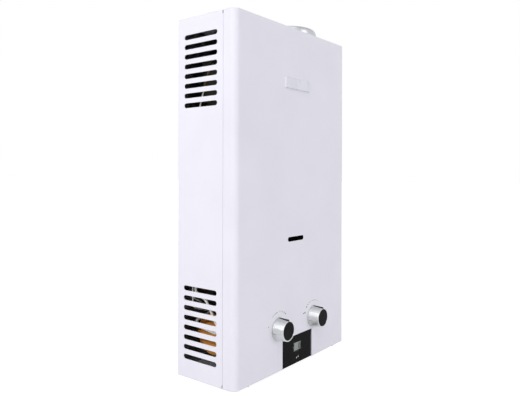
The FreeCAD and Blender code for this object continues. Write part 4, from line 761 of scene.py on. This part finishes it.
# %% [markdown]
# ## The two knobs
#
# A knob has a tapered barrel of brushed aluminium and a core of black ABS. The core's flat cap
# fills the barrel's front, and its pointer lies in a groove along the top of the barrel. The
# barrel's front edge is turned to a thin bright rim, and three short grooves near its base give
# the finger a grip. A cylinder could stand in for all this, but the taper, the rim and the gap
# round the cap are what make a knob look like metal and plastic.

# %% Barrel
knob_back, outwards = -125.5, (0, -1, 0)


def knob_barrel(name, x, body, node):
    """Tapered shell with a thin rim, a groove for the pointer and three finger grooves."""
    outline = arc(18.5, 0.4, 0.4, -90, 0, 3) + [(18.4, 6.5), (17.3, 18.9)]
    outline += arc(16.75, 20.1, 0.4, 10, 90, 4)
    outline += [(15.5, 20.5), (15.3, 20.3), (15.3, 15.5), (16.8, 0)]
    barrel = turned(name, outline, (x, knob_back, knob_z), outwards, 128)
    cut(barrel, block("tool", (x - 1.1, -148, knob_z + 13.5), (x + 1.1, -124.5, knob_z + 21)))
    for angle in (180, 192, 204):
        groove = block("tool", (x + 18.1, -131.5, knob_z - 0.6), (x + 20, -125, knob_z + 0.6))
        pick(groove, "FACE", lambda at, way: True)
        bpy.ops.transform.rotate(value=math.radians(angle), orient_axis="Y",
                                 center_override=(x * MM, 0, knob_z * MM))
        bpy.ops.object.mode_set(mode="OBJECT")
        cut(barrel, groove)
    eased(barrel, 0.12, 2, 40)
    return dressed(barrel, barrel_metal[1 if x > 0 else -1], body, "satin_aluminium", node)


knob_barrel("water_knob_shell", -knob_x, "water_knob", "water_knob_barrel")
knob_barrel("gas_knob_shell", knob_x, "gas_knob", "gas_knob_barrel")


# %% Cap and pointer
def knob_cap(name, x, body, node):
    """Cap with a softened edge, hub, and a pointer that bends over the front edge."""
    outline = [(0, 0), (6.5, 0), (6.5, 15), (15.1, 15), *arc(14.7, 20.0, 0.4, 0, 90, 4),
               (14.35, 20.32), (0, 20.28)]
    cap = turned(name, outline, (x, knob_back, knob_z), outwards, 96)
    pointer = block("pointer", (x - 1, -145.95, knob_z + 13.2), (x + 1, -126, knob_z + 19.4))
    pick(pointer, "VERT", lambda at, way: at.y < -130 and at.z > knob_z + 15)
    bpy.ops.transform.translate(value=(0, 0, -0.7 * MM))     # it slopes as the barrel does
    pick(pointer, "EDGE", lambda at, run: abs(run.x) > 1.5 and at.y < -140 and at.z > knob_z + 15)
    bpy.ops.mesh.bevel(offset=1.0 * MM, segments=4, affect="EDGES")
    bpy.ops.object.mode_set(mode="OBJECT")
    fused(cap, pointer)
    cut(cap, rod("shaft", (x, -133, knob_z), facing_front, 3.05, 16, 32))
    eased(cap, 0.12, 2, 40)
    return dressed(cap, black_abs, body, "black_abs", node)


knob_cap("water_knob_cap", -knob_x, "water_knob", "water_knob_core")
knob_cap("gas_knob_cap", knob_x, "gas_knob", "gas_knob_core")

# %% [markdown]
# ## The display
#
# Behind the opening lies a black acrylic panel. A clear lens is let into it, and a small liquid
# crystal glass sits behind the lens on a green circuit board. The glass is grey-green and off,
# so its two digits show only as ghosts between two dark strips, which are painted shade of the
# recess that the glass sits in. One bar of a digit is a function, with pointed ends, and seven
# of them make each figure eight. Below the lens are two plain signs, a drop and a flame.

# %% Panel and lens
panel = block("display_panel_face", (-48, -123, 0), (52, -121, 53.5))
cut(panel, block("tool", (-48.5, -124, -1), (left + 0.1, -120, 1.3)),
    block("tool", (right - 0.1, -124, -1), (52.5, -120, 1.3)),
    block("lens_seat", (-6.4, -124, 20.75), (16.4, -121.4, 36.45)),
    block("window", (-5.3, -124, 21.85), (15.3, -120, 35.35)))
for x in (-37.5, 41.5):
    for z in (9, 43):
        fused(panel, rod("pillar", (x, -118.9, z), facing_front, 2.5, 4.2, 24))
eased(panel, 0.15)
dressed(panel, black_acrylic, "case", "black_panel", "display_panel")
lens = block("display_lens", (-6.3, -122.8, 20.85), (16.3, -121.4, 36.35))
eased(lens, 0.3, 3)
dressed(lens, clear_acrylic, "case", "clear_lens", "display_window")

# %% Liquid crystal glass
liquid_crystal = mottled("liquid crystal glass, off", ("#8C998E", "#97A399"), 18, 2.0, 0.001,
                         (0.18, 0.25), {"Specular IOR Level": 0.08})
glass = block("display_glass", (-5.8, -120.9, 21.35), (15.8, -117, 35.85))
pick(glass, "FACE", lambda at, way: way.y < -0.9)
bpy.ops.mesh.inset(thickness=0.8 * MM)
bpy.ops.mesh.extrude_region_move(TRANSFORM_OT_translate={"value": (0, 0.15 * MM, 0)})
bpy.ops.object.mode_set(mode="OBJECT")
eased(glass, 0.08)
dressed(glass, liquid_crystal, "case", "circuit_board", "display_board")


# %% Ghosts of two digits
def digit_bar(middle_x, middle_z, stands):
    """One bar of a digit, 3.8 mm long, with pointed ends."""
    bar = block("digit_bar", (middle_x - 1.9, -120.76, middle_z - 0.4),
                (middle_x + 1.9, -120.74, middle_z + 0.4))
    pick(bar, "EDGE", lambda at, run: abs(run.y) > 0.9 * run.length)
    bpy.ops.mesh.bevel(offset=0.38 * MM, segments=1, affect="EDGES")
    if stands:
        bpy.ops.mesh.select_all(action="SELECT")
        bpy.ops.transform.rotate(value=math.pi / 2, orient_axis="Y",
                                 center_override=(middle_x * MM, -120.75 * MM, middle_z * MM))
    bpy.ops.object.mode_set(mode="OBJECT")
    return bar


ghost_ink = mottled("liquid crystal bar, off", ("#7C887E", "#859187"), 6, 1.0, 0.001,
                    (0.3, 0.35), {"Specular IOR Level": 0.08})
lying = [(0, dz, False) for dz in (4.4, 0, -4.4)]
standing = [(dx, dz, True) for dz in (2.2, -2.2) for dx in (-2.2, 2.2)]
bars = [digit_bar(digit_x + dx, 28.6 + dz, stands)
        for digit_x in (0.9, 6.7) for dx, dz, stands in lying + standing]
dressed(joined("display_digits", bars), ghost_ink, "case", "circuit_board")

# %% Dark strips of painted shade at the glass's edges
glass_edge_shade = mottled("liquid crystal glass, painted edge shade", ("#333D34", "#3C473E"), 9, 1.0, 0.001,
                       (0.2, 0.3), {"Specular IOR Level": 0.05})
# two strips of painted shade, at the left and right edges of the glass
edge_shade_strips = [block("border", (low, -120.78, 21.9), (high, -120.73, 35.3))
           for low, high in ((-5.2, -2.0), (9.4, 15.2))]
dressed(joined("display_glass_painted_shade", edge_shade_strips), glass_edge_shade, "case", "circuit_board")

# %% Circuit board and its chip
board = block("display_board_green", (-41.5, -117, 5), (45.5, -115.4, 47))
eased(board, 0.15)
dressed(board, board_green, "case", "circuit_board")
chip = block("display_chip", (-38, -115.4, 14), (-26, -113.6, 26))
pick(chip, "FACE", lambda at, way: way.y > 0.9)
bpy.ops.mesh.inset(thickness=0.5 * MM)
bpy.ops.mesh.extrude_region_move(TRANSFORM_OT_translate={"value": (0, -0.1 * MM, 0)})
bpy.ops.object.mode_set(mode="OBJECT")
eased(chip, 0.2)
dressed(chip, black_abs, "case", "circuit_board")

# %% Two small printed signs below the lens: a drop and a flame
sign_ink = mottled("screen-printed grey-green ink", ("#B4C0B6", "#C5CFC6"), 3, 0.4, 0.003,
                   (0.5, 0.6))
signs = []
for x, z, tip in ((2.6, 8.9, 1.0), (7.4, 10.0, 1.8)):
    sign = rod("sign", (x, -123.03, z), facing_front, 1.3, 0.06, 24)
    pick(sign, "VERT", lambda at, way: at.z > z + 1.29)
    bpy.ops.transform.translate(value=(0, 0, tip * MM))
    bpy.ops.object.mode_set(mode="OBJECT")
    signs.append(sign)
dressed(joined("display_signs", signs), sign_ink, "case", "black_panel")

# %% [markdown]
# ## The badge
#
# The badge is a small raised plate stuck to the cover. It is bare. A bright aluminium end piece
# with a wide bevel catches the light along its left edge, and the plate throws a thin shadow.
# Both are blocks with eased edges: anything richer would be lost at a thickness of 2 mm.

# %% Badge
badge_low, badge_high = 482.9, 501.9
badge = block("badge_bare", (-35.0, -127, badge_low), (38.5, -125, badge_high))
eased(badge, 0.12)
dressed(badge, badge_coat, "case", "badge_plate", "name_badge")
end_piece = block("badge_bright_end", (-36.5, -126.9, badge_low), (-35.02, -125, badge_high))
pick(end_piece, "EDGE", lambda at, run: at.y < -126.8 and at.x < -36.4)
bpy.ops.mesh.bevel(offset=1.3 * MM, segments=1, affect="EDGES")
bpy.ops.object.mode_set(mode="OBJECT")
eased(end_piece, 0.06)
dressed(end_piece, badge_trim, "case", "badge_plate")

# %% [markdown]
# ## The printed scales
#
# Dots and a thin arc round each knob show more and less, and a small spark beside the gas knob
# stands for lighting. Screen print lies on the paint like a film, here 0.06 mm thick. It could
# be painted in the coat's material, but as thin pieces its edges stay crisp in any picture and
# it can be moved with the knob's place.

# %% A dot and an arc
film = 0.06


def dot(x, z, radius):
    """A printed dot."""
    return rod("dot", (x, front_y - film / 2, z), facing_front, radius, film, 24)


def printed_arc(x, radius, start, end, widths):
    """An arc round a knob between two angles, its width going from one value to the other."""
    stroke = block("stroke", (x + radius - 0.5, front_y - film, knob_z - 0.01),
                   (x + radius + 0.5, front_y, knob_z))
    pick(stroke, "FACE", lambda at, way: way.z > 0.9)
    steps, centre = 24, (x * MM, 0, knob_z * MM)
    for k in range(steps):
        bpy.ops.mesh.extrude_region_move(TRANSFORM_OT_translate={"value": (0, 0, 0)})
        bpy.ops.transform.rotate(value=math.radians(end - start) / steps, orient_axis="Y",
                                 center_override=centre)
    bpy.ops.mesh.select_all(action="SELECT")
    bpy.ops.transform.rotate(value=math.radians(start), orient_axis="Y", center_override=centre)
    bpy.ops.object.mode_set(mode="OBJECT")
    for corner in stroke.data.vertices:
        out = Vector((corner.co.x - x * MM, 0, corner.co.z - knob_z * MM))
        share = (math.degrees(math.atan2(out.z, out.x)) - start) / (end - start)
        width = widths[0] + (widths[1] - widths[0]) * min(max(share, 0), 1)
        length = radius * MM + (out.length - radius * MM) * width
        corner.co.x = x * MM + out.x / out.length * length
        corner.co.z = knob_z * MM + out.z / out.length * length
    return stroke


print("the print is", film, "mm thick")

# %% Scales and spark
def polar(x, radius, angle):
    """A point round a knob, in mm."""
    turn = math.radians(angle)
    return x + radius * math.cos(turn), knob_z + radius * math.sin(turn)


printed = [dot(*polar(-knob_x, 29.5, angle), size) for angle, size in
           ((162, 0.9), (83, 0.75), (70.5, 0.9), (58, 1.05), (48, 1.25), (20, 0.6))]
printed += [dot(*polar(knob_x, 30, angle), size) for angle, size in
            ((137, 1.35), (127, 1.05), (117, 0.9), (109, 0.75))]
printed.append(printed_arc(-knob_x, 29, 129, 96, (0.3, 0.75)))
printed.append(printed_arc(knob_x, 29, 100, 54, (0.55, 0.25)))
spark_x, spark_z = polar(knob_x, 32, 160)       # a spark between two points
printed += [dot(spark_x + 2.4, spark_z + 0.4, 1.5), dot(spark_x - 2.6, spark_z - 0.3, 1.15)]
printed.append(block("spark", (spark_x - 1.4, front_y - film, spark_z - 0.3),
                     (spark_x + 1.4, front_y, spark_z + 0.3)))
dressed(joined("dial_print", printed), dial_ink, "case", "black_panel")

# %% [markdown]
# ## The threaded connections
#
# Cold water, gas and hot water leave below the case through half-inch connections with fourteen
# threads to the inch, so 1.81 mm from crest to crest. A real thread is a helix. Closed rings of
# the same pitch look alike at this size and spin in one go. One function makes all three, as
# only the height of the neck differs. The hexagon above the plate is a cylinder with six corners.

# %% Connection
turned_brass = mottled("turned brass, bright", ("#B28C48", "#CDAA66"), 6, 0.5, 0.005,
                       (0.2, 0.34), bare)
bore_r, root_r, crest_r, thread_pitch = 7.0, 9.55, 10.48, 1.81
across_flats, connection_y = 24, -60


def connection(name, x, neck_top, node):
    """Thread, groove, flange, hexagon and neck of one connection, with its bore."""
    outline, z = [(bore_r, -25), (9.1, -25), (9.4, -24.6)], -24.4
    while z < -2:
        outline += [(root_r, z), (crest_r, z + 0.75), (crest_r, z + 1.05),
                    (root_r, z + thread_pitch)]
        z += thread_pitch
    outline += [(9.5, -0.5), (9.5, 1), (13.4, 1), (14, 1.5), (14, 5.6), (13.6, 6), (10, 6),
                (10, neck_top), (bore_r, neck_top)]
    piece = turned(name, outline, (x, connection_y, 0), (0, 0, 1), 48)
    nut = rod("nut", (x, connection_y, 11), upright, across_flats / math.sqrt(3), 10, 6)
    cut(nut, rod("nut_bore", (x, connection_y, 11), upright, 9, 20, 32))
    fused(piece, nut)
    smoothed(piece, 25)
    return dressed(piece, turned_brass, "case", "brass", node)


connection("cold_connection", -100, 38.5, "cold_inlet_fitting")
connection("gas_connection", 44, 40.5, "gas_inlet_fitting")
connection("hot_connection", 92, 42, "hot_outlet_fitting")

# %% [markdown]
# ## The return spring
#
# The push rod carries a valve disc, and a wire spring behind the disc closes it again. The disc
# slides 4 mm, so the spring has to shorten by as much. The wire's round section is swept along a
# screw line with the screw modifier.

# %% Spring
spring_low, spring_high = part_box("return_spring")
wire, turns, travel = 0.6, 6, 4
spring_length = (spring_high.x - spring_low.x) / MM
coil = (spring_high.y - spring_low.y) / 2 / MM - wire       # from the axis to the wire's middle
bpy.ops.mesh.primitive_circle_add(vertices=12, radius=wire * MM, location=(coil * MM, 0, wire * MM),
                                  rotation=(math.pi / 2, 0, 0))
spring = settled("return_spring_wire")
modified(spring, "SCREW", axis="Z", iterations=turns, steps=32, render_steps=32,
         screw_offset=(spring_length - 2 * wire) / turns * MM, use_smooth_shade=True)
alone(spring)
bpy.ops.object.mode_set(mode="EDIT")
bpy.ops.mesh.select_all(action="SELECT")
bpy.ops.mesh.fill_holes(sides=0)
bpy.ops.mesh.normals_make_consistent(inside=False)
bpy.ops.object.mode_set(mode="OBJECT")
spring.rotation_euler = (0, math.pi / 2, 0)
spring.location = (spring_low.x, (spring_low.y + spring_high.y) / 2,
                   (spring_low.z + spring_high.z) / 2)
bpy.ops.object.transform_apply(location=True, rotation=True, scale=True)
dressed(spring, spring_steel, "case", "spring_steel", "return_spring")
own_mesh(spring)
print("spring", round(spring_length, 1), "mm long, wound", round(2 * coil, 1), "mm across")
